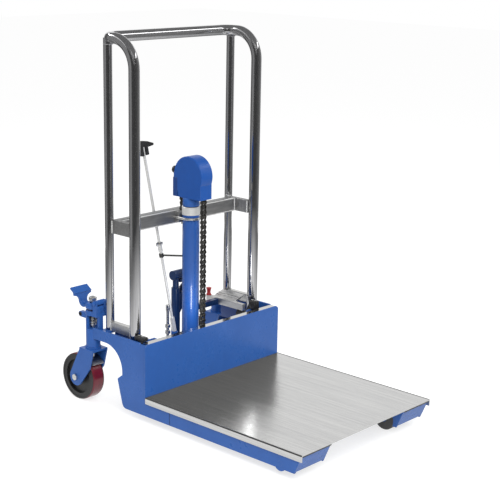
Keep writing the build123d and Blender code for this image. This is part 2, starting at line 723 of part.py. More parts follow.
def chain_hood():
    half = HOOD_WIDTH / 2
    head = rod_x(-half, half, WHEEL_Y, WHEEL_Z, 2 * (HOOD_RADIUS + HOOD_WALL))
    hood = fillet(head.edges().filter_by(GeomType.CIRCLE), HOOD_WALL * 2)
    hood += slab_x(hood_side(0), -half, half) + hood_skirt(0)
    inside = half - HOOD_WALL
    hood -= rod_x(-inside, inside, WHEEL_Y, WHEEL_Z, 2 * HOOD_RADIUS)
    hood -= slab_x(hood_side(HOOD_WALL), -inside, inside)
    return hood - hood_skirt(HOOD_WALL)


# Chain and chain wheel
def chain_wheel():
    seat = ROLLER_D / 2 + TOOTH_GAP
    rise = TIP_RADIUS - PITCH_RADIUS + TOOTH_GAP
    flare = seat + rise * tan(radians(TOOTH_FLANK))
    gap = Circle(seat) + polygon((0, -seat), (rise, -flare), (rise, flare), (0, seat))
    disc = Circle(TIP_RADIUS)
    for place in range(TEETH):
        disc -= Rot(0, 0, place * 360 / TEETH) * Pos(PITCH_RADIUS, 0) * gap
    wheel = slab_x(disc, -WHEEL_FACE / 2, WHEEL_FACE / 2)
    wheel += rod_x(-WHEEL_HUB_WIDTH / 2, WHEEL_HUB_WIDTH / 2, 0, 0, WHEEL_HUB_D)
    wheel -= rod_x(-WHEEL_HUB_WIDTH / 2, WHEEL_HUB_WIDTH / 2, 0, 0, WHEEL_AXLE_D + 2 * RUN_FIT)
    return Pos(0, WHEEL_Y, WHEEL_Z) * wheel


def link_outline():
    """Side plate of a link from pin to pin, waisted, with flat-cornered ends."""
    end = LINK_HEIGHT / 2
    near = end * tan(radians(22.5))
    waist = end * 0.8
    return polygon((-end, -near), (-near, -end), (near, -end), (PITCH / 2, -waist), (PITCH - near, -end),
                   (PITCH + near, -end), (PITCH + end, -near), (PITCH + end, near), (PITCH + near, end),
                   (PITCH - near, end), (PITCH / 2, waist), (near, end), (-near, end), (-end, near))


def inner_link():
    """Two plates with a roller at each end."""
    inside = INNER_WIDTH / 2
    outline = link_outline()
    link = slab_x(outline, inside, inside + LINK_PLATE) + slab_x(outline, -inside - LINK_PLATE, -inside)
    for pin in (0, PITCH):
        roller = Pos(pin, 0) * RegularPolygon(ROLLER_D / 2, 10)
        link += slab_x(roller, -inside, inside)
    return [link.solid()]


def outer_link():
    """Two plates with riveted pin heads."""
    outside = OUTER_LINK_IN + LINK_PLATE
    plates = []
    for end in (-1, 1):
        x0, x1 = sorted((end * OUTER_LINK_IN, end * outside))
        plate = slab_x(link_outline(), x0, x1)
        for pin in (0, PITCH):
            x2, x3 = sorted((end * outside, end * (outside + PIN_HEAD)))
            plate += slab_x(Pos(pin, 0) * RegularPolygon(PIN_HEAD_D / 2, 8), x2, x3)
        plates.append(plate.solid())
    return plates


def chain_run(pins, first_outer):
    """Links between the pins that follow one another, drawn as points in Y and Z."""
    kinds = {True: outer_link(), False: inner_link()}
    solids = []
    for count, (start, end) in enumerate(zip(pins, pins[1:])):
        outer = first_outer == (count % 2 == 0)
        angle = degrees(atan2(end[1] - start[1], end[0] - start[0]))
        place = Pos(0, start[0], start[1]) * Rot(angle, 0, 0)
        solids += [place * solid for solid in kinds[outer]]
    return Compound(solids)


def chain_front():
    return chain_run([(FRONT_CHAIN_Y, LUG_Z + PITCH * n) for n in range(FRONT_LINKS + 1)], True)


def chain_wrap():
    angles = [pi - 2 * pi * n / TEETH for n in range(TEETH // 2 + 1)]
    pins = [(WHEEL_Y + PITCH_RADIUS * cos(a), WHEEL_Z + PITCH_RADIUS * sin(a)) for a in angles]
    return chain_run(pins, FRONT_LINKS % 2 == 0)


def chain_rear():
    return chain_run([(REAR_CHAIN_Y, ANCHOR_Z + PITCH * n) for n in range(REAR_LINKS + 1)], True)


def chain_anchor():
    low = MID_BAR_MIDDLE - SADDLE_HEIGHT / 2
    tongue = Pos(REAR_CHAIN_Y, ANCHOR_Z) * Circle(LUG_ROUND)
    tongue += rectangle(REAR_CHAIN_Y - LUG_ROUND, REAR_CHAIN_Y + LUG_ROUND, ANCHOR_Z - LINK_HEIGHT, ANCHOR_Z)
    anchor = slab_x(tongue, -LUG_WIDTH / 2, LUG_WIDTH / 2)
    anchor += rod_z(0, REAR_CHAIN_Y, low - 2 * ANCHOR_NUT, ANCHOR_Z - LINK_HEIGHT, ANCHOR_D)
    return anchor + hexagon_z(0, REAR_CHAIN_Y, low - ANCHOR_NUT, low, ANCHOR_D * 1.6)


def u_bolt_reach():
    return (BARREL_D + U_BOLT_D) / 2 + AIR


def u_bolt():
    reach = u_bolt_reach()
    end = MID_BAR_BACK + 2 * U_BOLT_NUT
    path = Line((-reach, end, MID_BAR_MIDDLE), (-reach, CYLINDER_Y, MID_BAR_MIDDLE))
    path += ThreePointArc((-reach, CYLINDER_Y, MID_BAR_MIDDLE), (0, CYLINDER_Y - reach, MID_BAR_MIDDLE),
                          (reach, CYLINDER_Y, MID_BAR_MIDDLE))
    path += Line((reach, CYLINDER_Y, MID_BAR_MIDDLE), (reach, end, MID_BAR_MIDDLE))
    bolt = sweep(Plane(origin=(-reach, end, MID_BAR_MIDDLE), z_dir=(0, -1, 0)) * Circle(U_BOLT_D / 2), path=path)
    for side in (-reach, reach):
        bolt += hexagon_y(side, MID_BAR_BACK, MID_BAR_BACK + U_BOLT_NUT, MID_BAR_MIDDLE, U_BOLT_D * 1.6)
    return bolt


# Pump, valve block and foot pedal
def valve_block():
    front = CYLINDER_Y + BARREL_FOOT_D / 2
    top = BASE_TOP + BLOCK_HEIGHT
    body = block(-BLOCK_RIGHT, BLOCK_LEFT, front, BLOCK_BACK, BASE_TOP, top)
    body += rod_z(VALVE_X, VALVE_Y, top, VALVE_TOP, VALVE_D)
    return body + hexagon_z(VALVE_X, VALVE_Y, top, top + VALVE_D / 2, VALVE_D + 2 * SEAT)


def valve_stem():
    """Adjusting screw beside the valve, with two nuts and a knob."""
    x = VALVE_X - STEM_ASIDE
    bottom = BASE_TOP + BLOCK_HEIGHT
    top = bottom + STEM_HEIGHT
    stem = rod_z(x, VALVE_Y, bottom, top, STEM_D) + rod_z(x, VALVE_Y, top, top + KNOB_HEIGHT, KNOB_D)
    for count in (0, 2):
        nut = VALVE_TOP + count * STEM_NUT
        stem += hexagon_z(x, VALVE_Y, nut, nut + STEM_NUT, STEM_D * 1.6)
    return stem


def pump_body():
    bottom = BASE_TOP + BLOCK_HEIGHT
    body = rod_z(0, PUMP_Y, bottom, PUMP_TOP, PUMP_D)
    ear_in = (LEVER_DEPTH / 2) + AIR
    ear_out = ear_in + PIVOT_EAR
    arm = polygon((0, PIVOT_Z - 4 * PIVOT_BOSS_D), (PIVOT_X + PIVOT_BOSS_D / 2, PIVOT_Z),
                  (PIVOT_X - PIVOT_BOSS_D / 2, PIVOT_Z), (0, PUMP_TOP - PIVOT_BOSS_D))
    arm += Pos(PIVOT_X, PIVOT_Z) * Circle(PIVOT_BOSS_D / 2)
    for y0, y1 in ((PUMP_Y - ear_out, PUMP_Y - ear_in), (PUMP_Y + ear_in, PUMP_Y + ear_out)):
        body += slab_y(arm, y0, y1)
    body += rod_y(PIVOT_X, PUMP_Y - ear_out, PUMP_Y + ear_out, PIVOT_Z, PIVOT_D)
    return body - rod_z(0, PUMP_Y, PUMP_TOP - PLUNGER_DEPTH, PUMP_TOP, PLUNGER_D + 2 * RUN_FIT)


def pump_plunger():
    foot = PUMP_TOP - PLUNGER_DEPTH + FINGER_HEIGHT
    plunger = rod_z(0, PUMP_Y, foot, HEAD_Z, PLUNGER_D)
    return plunger + rod_x(-HEAD_RIGHT, HEAD_LEFT, PUMP_Y, HEAD_Z, HEAD_D)


def pedal_lever():
    finger_top = HEAD_Z - HEAD_D / 2 - AIR
    finger = rectangle(FINGER_REACH, PIVOT_X, finger_top - FINGER_HEIGHT, finger_top)
    hub = Pos(PIVOT_X, PIVOT_Z) * Circle(PIVOT_BOSS_D / 2)
    level = PEDAL_Z - PEDAL_BAR_HEIGHT / 2
    strap = trace(FilletPolyline((PIVOT_X, PIVOT_Z), (LEVER_X, level), (PEDAL_X - PEDAL_BAR, level),
                                 radius=LEVER_BEND), LEVER_WIDTH)
    face = finger + hub + strap - Pos(PIVOT_X, PIVOT_Z) * Circle(PIVOT_D / 2 + RUN_FIT)
    return slab_y(face, PUMP_Y - LEVER_DEPTH / 2, PUMP_Y + LEVER_DEPTH / 2)


def pedal_pad():
    """Bar along the lift with a sloping, ribbed plate for the foot."""
    outer = PEDAL_X + PEDAL_WIDTH
    sheet = PEDAL_SHEET + RIB_HEIGHT
    low = PEDAL_Z - PEDAL_BAR_HEIGHT
    bar = block(PEDAL_X - PEDAL_BAR, PEDAL_X, PEDAL_BAR_FRONT, PEDAL_BAR_BACK, low, PEDAL_Z + PEDAL_SHEET)
    face = polygon((PEDAL_X, PEDAL_Z), (outer, PEDAL_Z + PEDAL_RISE), (outer, PEDAL_Z + PEDAL_RISE + PEDAL_SHEET),
                   (PEDAL_X, PEDAL_Z + PEDAL_SHEET))
    slope = PEDAL_RISE / PEDAL_WIDTH
    for count in range(RIB_COUNT):
        near = (count + 1) * RIB_STEP
        far = near + RIB_WIDTH
        face += polygon((PEDAL_X + near, PEDAL_Z + near * slope), (PEDAL_X + far, PEDAL_Z + far * slope),
                        (PEDAL_X + far, PEDAL_Z + far * slope + sheet),
                        (PEDAL_X + near, PEDAL_Z + near * slope + sheet))
    return bar + slab_y(face, PEDAL_FRONT, PEDAL_BACK)


# Release rod from the valve to the operator's hand
RELEASE_FOOT = Vector(VALVE_X, VALVE_Y, VALVE_TOP + AIR)
RELEASE_TOP = Vector(RELEASE_TOP_X, RELEASE_TOP_Y, RELEASE_TOP_Z)
RELEASE_LINE = RELEASE_TOP - RELEASE_FOOT
RELEASE_PLANE = Plane(origin=RELEASE_FOOT, x_dir=(0, 1, 0), z_dir=RELEASE_LINE)


def along_release(height, diameter, start):
    """Round piece on the release rod's own axis."""
    return Pos(0, 0, start) * Cylinder(diameter / 2, height, align=(Align.CENTER, Align.CENTER, Align.MIN))


def release_place(z):
    """Distance along the release rod to a height above the floor."""
    return (z - RELEASE_FOOT.Z) / RELEASE_LINE.Z * RELEASE_LINE.length


def release_rod():
    start = RELEASE_D / 6
    rod = along_release(RELEASE_LINE.length - start, RELEASE_D, start)
    clamp = release_place(GUIDE_Z) + GUIDE_HEIGHT
    rod += along_release(CLAMP_HEIGHT, CLAMP_D, clamp)
    rod += along_release(SOCKET_HEIGHT, SOCKET_D, start)
    wing = Pos(0, 0, clamp + CLAMP_HEIGHT) * Rot(90, 0, 0) * Cylinder(RELEASE_D / 3, WING_SPAN)
    return RELEASE_PLANE * (rod + wing)


def release_handle():
    """Grip drawn in its own plane, with the rod's top as zero: a head, a forked foot and a thumb lever."""
    slot = RELEASE_D / 2 + AIR
    head = polygon((-HANDLE_HALF, -HANDLE_LEG), (HANDLE_HALF, -HANDLE_LEG), (HANDLE_HALF, HANDLE_BROW),
                   (-HANDLE_HALF / 2, HANDLE_HEAD))
    for corner in ((-HANDLE_HALF / 2, HANDLE_HEAD), (-HANDLE_HALF, -HANDLE_LEG), (HANDLE_HALF, -HANDLE_LEG)):
        head = rounded(head, corner, HANDLE_ROUND)
    head -= rectangle(-slot, slot, -HANDLE_LEG, 0)
    tip = HANDLE_TIP_D / 2
    lever = Pos(HANDLE_REACH - tip, 0) * Circle(tip)
    lever += polygon((HANDLE_HALF / 2, -tip), (HANDLE_REACH - tip, -tip), (HANDLE_REACH - tip, tip),
                     (HANDLE_HALF, HANDLE_BROW), (HANDLE_HALF / 2, HANDLE_BROW))
    across = Vector(RELEASE_LINE.Z, 0, -RELEASE_LINE.X)
    plane = Plane(origin=RELEASE_TOP, x_dir=across, z_dir=across.cross(RELEASE_LINE))
    return extrude(plane * (head + lever), HANDLE_DEPTH / 2, both=True)


def rod_guide():
    centre = RELEASE_FOOT + RELEASE_LINE * ((GUIDE_Z - RELEASE_FOOT.Z) / RELEASE_LINE.Z)
    along = Plane(origin=centre, x_dir=(0, 1, 0), z_dir=RELEASE_LINE)
    axis = Vector(0, CYLINDER_Y, GUIDE_Z)
    stay = Plane(origin=centre, z_dir=axis - centre) * Cylinder(
        STAY_D / 2, (axis - centre).length, align=(Align.CENTER, Align.CENTER, Align.MIN))
    guide = along * Cylinder(GUIDE_D / 2, GUIDE_HEIGHT) + stay
    guide -= along * Cylinder(RELEASE_D / 2 + RUN_FIT, 2 * GUIDE_HEIGHT)
    return guide - rod_z(0, CYLINDER_Y, BASE_TOP, BARREL_TOP, BARREL_D)


# Casters and their brakes
def post_top(side):
    return POST_TOP if side in BRAKED else PLAIN_POST_TOP


def caster_post(side):
    """Hollow post over a caster; on the braked side it carries the pedal's ears and a window."""
    bore = ROD_D + 2 * AIR
    post = rod_z(CASTER_X, CASTER_Y, POST_BOTTOM, post_top(side), POST_D)
    if side in BRAKED:
        post = brake_housing(post)
    return on_side(post - rod_z(CASTER_X, CASTER_Y, POST_BOTTOM, POST_TOP, bore), side)


def caster_pin(side):
    """Kingpin that holds the fork of a caster without a brake."""
    top = post_top(side)
    across = ROD_D * 1.6
    pin = rod_z(CASTER_X, CASTER_Y, CROWN_Z - ROD_NUT, top, ROD_D)
    pin += hexagon_z(CASTER_X, CASTER_Y, top, top + KING_HEAD, across)
    return on_side(pin + hexagon_z(CASTER_X, CASTER_Y, CROWN_Z - SEAT - KING_HEAD, CROWN_Z - SEAT, across), side)


def brake_housing(post):
    reach = ARM_WIDTH / 2 + AIR + EAR_SHEET
    front = PEDAL_PIVOT_Y - PEDAL_HUB_D / 2
    post += block(CASTER_X - reach, CASTER_X + reach, front, CASTER_Y, WINDOW_TOP, POST_TOP)
    ear = Pos(PEDAL_PIVOT_Y, PEDAL_PIVOT_Z) * Circle(PEDAL_HUB_D / 2)
    ear += rectangle(front, PEDAL_PIVOT_Y + PEDAL_HUB_D / 2, POST_TOP, PEDAL_PIVOT_Z)
    post += slab_x(ear, CASTER_X - reach, CASTER_X - reach + EAR_SHEET)
    post += slab_x(ear, CASTER_X + reach - EAR_SHEET, CASTER_X + reach)
    post += rod_x(CASTER_X - reach, CASTER_X + reach, PEDAL_PIVOT_Y, PEDAL_PIVOT_Z, PEDAL_PIN_D)
    eye_y = CASTER_Y + EYE_REACH
    eye = Pos(eye_y, EYE_Z) * Circle(EYE_D / 2) + rectangle(CASTER_Y, eye_y, EYE_Z - EYE_D / 2, EYE_Z + EYE_D / 2)
    eye -= Pos(eye_y, EYE_Z) * Circle(EYE_HOLE / 2)
    post += slab_x(eye, CASTER_X - EYE_WIDTH / 2, CASTER_X + EYE_WIDTH / 2)
    post -= block(CASTER_X - POST_D, CASTER_X + POST_D, CASTER_Y - POST_D, CASTER_Y + WINDOW_BACK,
                  WINDOW_BOTTOM, WINDOW_TOP)
    post -= rod_z(CASTER_X, CASTER_Y, WINDOW_BOTTOM, WINDOW_TOP, WINDOW_D)
    half = STRUT_WIDTH / 2
    post += block(CASTER_X - half, CASTER_X + half, front, front + STRUT_DEPTH, STRUT_BOTTOM, WINDOW_TOP)
    return post + block(CASTER_X - half, CASTER_X + half, front, CASTER_Y, STRUT_BOTTOM, WINDOW_BOTTOM)


def caster_fork(side):
    half = CROWN_LENGTH / 2
    eye = Pos(AXLE_Y, WHEEL_RADIUS) * Circle(FORK_EYE)
    crown_edge = Line((CASTER_Y - half, CROWN_Z), (CASTER_Y + half, CROWN_Z))
    belly = Pos(CASTER_Y + BELLY_BACK, BELLY_Z) * Circle(FORK_BELLY)
    cheek = make_hull([*eye.edges(), *belly.edges(), crown_edge])
    cheek -= Pos(AXLE_Y, WHEEL_RADIUS) * Circle(CASTER_AXLE_D / 2 + RUN_FIT)
    fork = slab_x(cheek, CASTER_X + FORK_IN, CASTER_X + FORK_OUT)
    fork += slab_x(cheek, CASTER_X - FORK_OUT, CASTER_X - FORK_IN)
    fork += block(CASTER_X - FORK_OUT, CASTER_X + FORK_OUT, CASTER_Y - half, CASTER_Y + half,
                  CROWN_Z, CROWN_Z + CROWN_SHEET)
    fork += rod_z(CASTER_X, CASTER_Y, CROWN_Z, POST_BOTTOM, RACE_D)
    if side in BRAKED:
        fork += rod_x(CASTER_X - FORK_IN, CASTER_X + FORK_IN, CASTER_Y + SHOE_PIN_BACK, SHOE_PIN_Z, SHOE_PIN_D)
    return on_side(fork - rod_z(CASTER_X, CASTER_Y, CROWN_Z, POST_BOTTOM, ROD_D + 2 * AIR), side)


def about_axle(points, rounding=0.0):
    """Ring about the caster's axle, from points given as radius and place across the wheel."""
    profile = polygon(*points)
    if rounding:
        outer = profile.vertices().group_by(Axis.X)[-1]
        profile = fillet(outer, rounding)
    return Pos(CASTER_X, AXLE_Y, WHEEL_RADIUS) * Rot(0, 0, -90) * revolve(profile, Axis.Y)


def caster_wheel(side):
    bore = CASTER_AXLE_D / 2 + RUN_FIT
    rim = WHEEL_RADIUS - TREAD_DEPTH
    hub = FORK_IN - SEAT
    web = WEB_WIDTH / 2
    face = WHEEL_WIDTH / 2
    core = about_axle([
        (bore, -hub), (HUB_D / 2, -hub), (HUB_D / 2, -web), (rim - RIM_DEPTH, -web), (rim - RIM_DEPTH, -face),
        (rim, -face), (rim, face), (rim - RIM_DEPTH, face), (rim - RIM_DEPTH, web), (HUB_D / 2, web),
        (HUB_D / 2, hub), (bore, hub)])
    return on_side(core, side)


def caster_tread(side):
    rim = WHEEL_RADIUS - TREAD_DEPTH
    face = WHEEL_WIDTH / 2
    ring = about_axle([(rim, -face), (WHEEL_RADIUS, -face), (WHEEL_RADIUS, face), (rim, face)], TREAD_ROUND)
    return on_side(ring, side)


def caster_axle(side):
    axle = rod_x(CASTER_X - FORK_OUT, CASTER_X + FORK_OUT, AXLE_Y, WHEEL_RADIUS, CASTER_AXLE_D)
    across = CASTER_AXLE_D * 1.55
    axle += hexagon_x(CASTER_X + FORK_OUT, CASTER_X + FORK_OUT + AXLE_HEAD, AXLE_Y, WHEEL_RADIUS, across)
    axle += hexagon_x(CASTER_X - FORK_OUT - AXLE_HEAD, CASTER_X - FORK_OUT, AXLE_Y, WHEEL_RADIUS, across)
    return on_side(axle, side)


def shoe_place(angle, radius):
    """Point over the wheel, by its angle ahead of the top in degrees."""
    return AXLE_Y - radius * sin(radians(angle)), WHEEL_RADIUS + radius * cos(radians(angle))


def brake_shoe(side):
    """Brake shoe, drawn pressed down over the wheel and turned back to where it hangs released."""
    low = WHEEL_RADIUS + SHOE_GAP
    high = low + SHOE_SHEET
    middle = (SHOE_FROM + SHOE_TO) / 2
    arc = make_face([
        ThreePointArc(shoe_place(SHOE_FROM, low), shoe_place(middle, low), shoe_place(SHOE_TO, low)),
        Line(shoe_place(SHOE_TO, low), shoe_place(SHOE_TO, high)),
        ThreePointArc(shoe_place(SHOE_TO, high), shoe_place(middle, high), shoe_place(SHOE_FROM, high)),
        Line(shoe_place(SHOE_FROM, high), shoe_place(SHOE_FROM, low)),
    ])
    pin_y = CASTER_Y + SHOE_PIN_BACK
    half = SHOE_SHEET / 2
    root = shoe_place(SHOE_FROM, high)
    arm = polygon((pin_y - half, SHOE_PIN_Z), (root[0], root[1] - half), (root[0] - 2 * SHOE_SHEET, root[1] - half),
                  (pin_y - half - SHOE_SHEET, SHOE_PIN_Z))
    arm += Pos(pin_y, SHOE_PIN_Z) * Circle(SHOE_BARREL_D / 2)
    face = arc + arm - Pos(pin_y, SHOE_PIN_Z) * Circle(SHOE_PIN_D / 2 + RUN_FIT)
    shoe = slab_x(face, CASTER_X - SHOE_WIDTH / 2, CASTER_X + SHOE_WIDTH / 2)
    return on_side(turned(shoe, -SHOE_TURN, pin_y, SHOE_PIN_Z), side)


def shoe_under_rod():
    """Height of the hanging shoe under the edge of the rod's tip."""
    target = CASTER_Y + ROD_TIP_D / 2
    radius = WHEEL_RADIUS + SHOE_GAP + SHOE_SHEET
    pin_y = CASTER_Y + SHOE_PIN_BACK
    y = target
    for _ in range(20):
        z = WHEEL_RADIUS + sqrt(radius ** 2 - (AXLE_Y - y) ** 2)
        back = (y - pin_y) * cos(SHOE_TURN) + (z - SHOE_PIN_Z) * sin(SHOE_TURN)
        y += target - (pin_y + back)
    return SHOE_PIN_Z - (y - pin_y) * sin(SHOE_TURN) + (z - SHOE_PIN_Z) * cos(SHOE_TURN)


def brake_rod(side):
    arm_z = PEDAL_PIVOT_Z - tan(ARM_TILT) * PEDAL_PIVOT_AHEAD
    half = ARM_SHEET / 2 / cos(ARM_TILT) + tan(ARM_TILT) * SHOULDER_D / 2 + 2 * AIR
    shoulder = arm_z - half
    nut = arm_z + half + PEDAL_TURN * SHOULDER_D
    foot = shoe_under_rod() + AIR
    rod = rod_z(CASTER_X, CASTER_Y, foot + ROD_TIP, nut + ROD_NUT + ROD_END, ROD_D)
    tip = Cone(ROD_TIP_D / 2, ROD_D / 2, ROD_TIP, align=(Align.CENTER, Align.CENTER, Align.MIN))
    rod += Pos(CASTER_X, CASTER_Y, foot) * tip
    rod += rod_z(CASTER_X, CASTER_Y, shoulder - SHOULDER_HEIGHT, shoulder, SHOULDER_D)
    plug = (WINDOW_BOTTOM + WINDOW_TOP) / 2
    rod += rod_z(CASTER_X, CASTER_Y, plug - PLUG_HEIGHT / 2, plug + PLUG_HEIGHT / 2, PLUG_D)
    across = SHOULDER_D * cos(pi / 6)
    return on_side(rod + hexagon_z(CASTER_X, CASTER_Y, nut, nut + ROD_NUT, across), side)


def brake_pedal(side):
    """Bent arm that flares into a sloping pad."""
    pivot = (PEDAL_PIVOT_Y, PEDAL_PIVOT_Z)
    slope = PAD_RISE / (PAD_BACK - PAD_FRONT)
    neck = (CASTER_Y + PAD_NECK, PAD_Z + slope * (PAD_NECK - PAD_FRONT))
    arm = trace(FilletPolyline(pivot, (CASTER_Y + ARM_DIP_Y, ARM_DIP_Z), neck, radius=ARM_BEND), ARM_SHEET)
    arm += trace(Line((CASTER_Y + PAD_FRONT, PAD_Z), (CASTER_Y + PAD_BACK, PAD_Z + PAD_RISE)), PAD_SHEET)
    arm += Pos(*pivot) * Circle(PEDAL_HUB_D / 2)
    arm -= Pos(*pivot) * Circle(PEDAL_PIN_D / 2 + RUN_FIT)
    pedal = slab_x(arm, CASTER_X - ARM_WIDTH / 2, CASTER_X + ARM_WIDTH / 2)
    pedal -= rod_z(CASTER_X, CASTER_Y, POST_TOP, PAD_Z, ROD_D + 2 * ROD_TRAVEL)
    half = PAD_WIDTH / 2
    flare = half - ARM_WIDTH / 2
    foot = PAD_Z - PAD_SHEET - flare
    outline = rectangle(CASTER_X - half, CASTER_X + half, foot, PAD_Z + PAD_RISE + PAD_SHEET)
    for end in (-half, half):
        outline -= Pos(CASTER_X + end, foot) * Circle(flare)
    wide = slab_x(arm, CASTER_X - half, CASTER_X + half)
    wide &= slab_y(outline, CASTER_Y + SHOULDER_D, CASTER_Y + PAD_BACK + PAD_SHEET)
    return on_side(pedal + wide, side)


def save(name, shape):
    """Write one piece, moved so that the origin is under the middle of the lift."""
    export_step(FRAME * shape, f"parts/{name}.step")


def main():
    os.makedirs("parts", exist_ok=True)
    singles = (deck_plate, apron_panel, apron_ledge, deck_frame, roller_axles, chain_lug, base_plate, load_axles,
               mast_frame, rear_uprights, mid_bar, lower_ties, cylinder_barrel, gland_nut, ram_rod, chain_yoke,
               wheel_axle, chain_hood, chain_wheel, chain_front, chain_wrap, chain_rear, chain_anchor, u_bolt,
               valve_block, valve_stem, pump_body, pump_plunger, pedal_lever, pedal_pad, release_rod, release_handle, rod_guide)
    for piece in singles:
        save(piece.__name__, piece())
    pairs = (guide_bracket, leg, side_plate, load_wheel, caster_post, caster_fork, caster_wheel, caster_tread,
             caster_axle)
    for side in SIDES:
        fitted = (brake_shoe, brake_rod, brake_pedal) if side in BRAKED else (caster_pin,)
        for piece in pairs + fitted:
            save(f"{piece.__name__}_{side}", piece(side))
        save(f"guide_roller_low_{side}", guide_roller(side, ROLLER_LOW))
        save(f"guide_roller_high_{side}", guide_roller(side, ROLLER_HIGH))


main()
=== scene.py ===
import json
import random
from math import atan2, cos, pi, radians, sin, tan
import bmesh
import bpy
from mathutils import Matrix, Vector


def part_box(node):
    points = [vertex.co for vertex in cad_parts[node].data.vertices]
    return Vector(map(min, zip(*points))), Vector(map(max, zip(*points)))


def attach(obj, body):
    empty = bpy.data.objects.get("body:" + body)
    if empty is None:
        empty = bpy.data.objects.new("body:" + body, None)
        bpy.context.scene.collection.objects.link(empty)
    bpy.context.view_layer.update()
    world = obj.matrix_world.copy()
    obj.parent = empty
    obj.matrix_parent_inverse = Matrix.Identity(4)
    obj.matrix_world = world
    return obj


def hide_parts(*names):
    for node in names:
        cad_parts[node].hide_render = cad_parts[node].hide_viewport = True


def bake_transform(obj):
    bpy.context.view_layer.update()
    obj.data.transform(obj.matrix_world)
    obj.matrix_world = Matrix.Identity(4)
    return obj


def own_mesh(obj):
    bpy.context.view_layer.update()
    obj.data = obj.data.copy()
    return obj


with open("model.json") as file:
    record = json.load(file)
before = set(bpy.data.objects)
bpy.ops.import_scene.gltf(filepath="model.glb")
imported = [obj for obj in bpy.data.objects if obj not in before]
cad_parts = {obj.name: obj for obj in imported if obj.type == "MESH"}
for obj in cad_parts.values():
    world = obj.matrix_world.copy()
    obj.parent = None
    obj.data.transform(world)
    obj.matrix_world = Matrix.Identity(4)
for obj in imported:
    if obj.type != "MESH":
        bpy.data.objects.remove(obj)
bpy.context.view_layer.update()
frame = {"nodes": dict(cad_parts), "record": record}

# Portable hydraulic lift, in metres and in the frame of the solids: the deck towards -Y, the mast and the
# operator towards +Y. Places of small pieces are in millimetres, with Y from the apron's front face.

APRON_Y = 0.116
SIDES = ((-1, "right"), (1, "left"))
WHITE = (1, 1, 1, 1)

# Camera, fitted to the photograph
SENSOR, PICTURE_WIDTH, FOCAL_PIXELS, CLIP_END = 36.0, 500, 1256.985, 100
AZIMUTH, PITCH_DOWN, ROLL = -0.8336287, 0.2472418, 0.0186431
LOOK_AT = Vector((0.155728, 0.116, 0.46289))
LOOK_FROM = 4.005299

# World: how strongly it lights, and how strongly the camera, mirrors and glass see it
WORLD_LIGHT, WORLD_SEEN = 0.62, 1.0
# Paper under the object: its size, its grey for passing light on, and its grey and glow where it is seen
PAPER_SIZE, PAPER_GREY, PAPER_SEEN_GREY, PAPER_GLOW = 30, 0.8, 0.42, 0.72
# Lamps: place, aim, size and power; the last one is small and draws the streak on the barrel
LAMPS = {
    "key_lamp": ((-1.9, -2.6, 2.9), (0, 0, 0.4), (2.2, 2.2), 95),
    "fill_lamp": ((2.6, -1.6, 2.2), (0, 0, 0.4), (1.6, 2.2), 35),
    "back_lamp": ((-0.8, 3.0, 2.6), (0, 0, 0.6), (1.8, 1.8), 45),
    "streak_lamp": ((-0.067, 0.127, 0.295), (0, 0.227, 0.295), (0.03, 0.08), 0.09),
}

# Cards that only reflections see
CARD_ROUGHNESS = 0.9
# Walls in a ring about the object: start and end in degrees from the camera's own direction, and glow
WALLS = ((-140, -100, 0.10), (-100, -48, 0.27), (-48, -16, 0.045), (-16, 18, 0.035), (18, 48, 0.045),
         (48, 86, 0.09), (86, 140, 0.21))
WALL_FAR, WALL_HEIGHT, WALL_SHADE = 2.4, 2.45, 0.02
# Ceiling: its height, how far it reaches behind and towards the camera, its width, shade and glow
CEILING_Z, CEILING_BACK, CEILING_FRONT, CEILING_WIDTH = 2.4, 2.2, 3.6, 3.4
CEILING_SHADE, CEILING_GLOW = 0.03, 0.17
# Floor that darkens outwards: how far its middle lies towards the camera and above the paper, where its fall
# begins and ends, and how bright it is there
FLOOR_AHEAD, FLOOR_LIFT = 0.35, 0.002
FLOOR_NEAR, FLOOR_FAR, FLOOR_BRIGHT, FLOOR_DARK = 0.65, 1.9, 1.05, 0.22
# Grey flag before the apron, so that the deck mirrors a plain grey there
FLAG_SHADE, FLAG_LOW, FLAG_HIGH, FLAG_HALF, FLAG_AHEAD = 0.16, 0.086, 0.30, 0.3, 0.0008
# Bright patch above that flag, for the gleam in the deck: middle, size and strength
GLEAM_X, GLEAM_Z, GLEAM_AHEAD, GLEAM_SIZE, GLEAM = 0.162, 0.347, 0.0016, (0.014, 0.08), 14.0
FACING_DECK = (pi / 2, 0, 0)


def grey(level):
    return (level, level, level, 1)


def set_camera():
    lens = bpy.data.cameras.new("photo_camera")
    lens.sensor_width = SENSOR
    lens.lens = FOCAL_PIXELS / PICTURE_WIDTH * SENSOR
    lens.clip_end = CLIP_END
    camera = bpy.data.objects.new("photo_camera", lens)
    bpy.context.collection.objects.link(camera)
    back = Vector((sin(AZIMUTH) * cos(PITCH_DOWN), -cos(AZIMUTH) * cos(PITCH_DOWN), sin(PITCH_DOWN)))
    right = Vector((cos(AZIMUTH), sin(AZIMUTH), 0))
    turn = Matrix((right, back.cross(right), back)).transposed() @ Matrix.Rotation(ROLL, 3, "Z")
    camera.matrix_world = Matrix.Translation(LOOK_AT + back * LOOK_FROM) @ turn.to_4x4()
    bpy.context.scene.camera = camera


def mixed_shader(tree, share, first, second):
    mix = tree.nodes.new("ShaderNodeMixShader")
    for socket, value in zip(mix.inputs, (share, first, second)):
        tree.links.new(value, socket)
    return mix.outputs[0]


def seen_directly(tree):
    """One where a ray comes straight from the camera, or by a mirror or through glass."""
    path = tree.nodes.new("ShaderNodeLightPath").outputs
    direct = math_node(tree, "ADD", path["Is Camera Ray"], path["Is Glossy Ray"])
    return math_node(tree, "ADD", direct, path["Is Transmission Ray"], clamp=True)


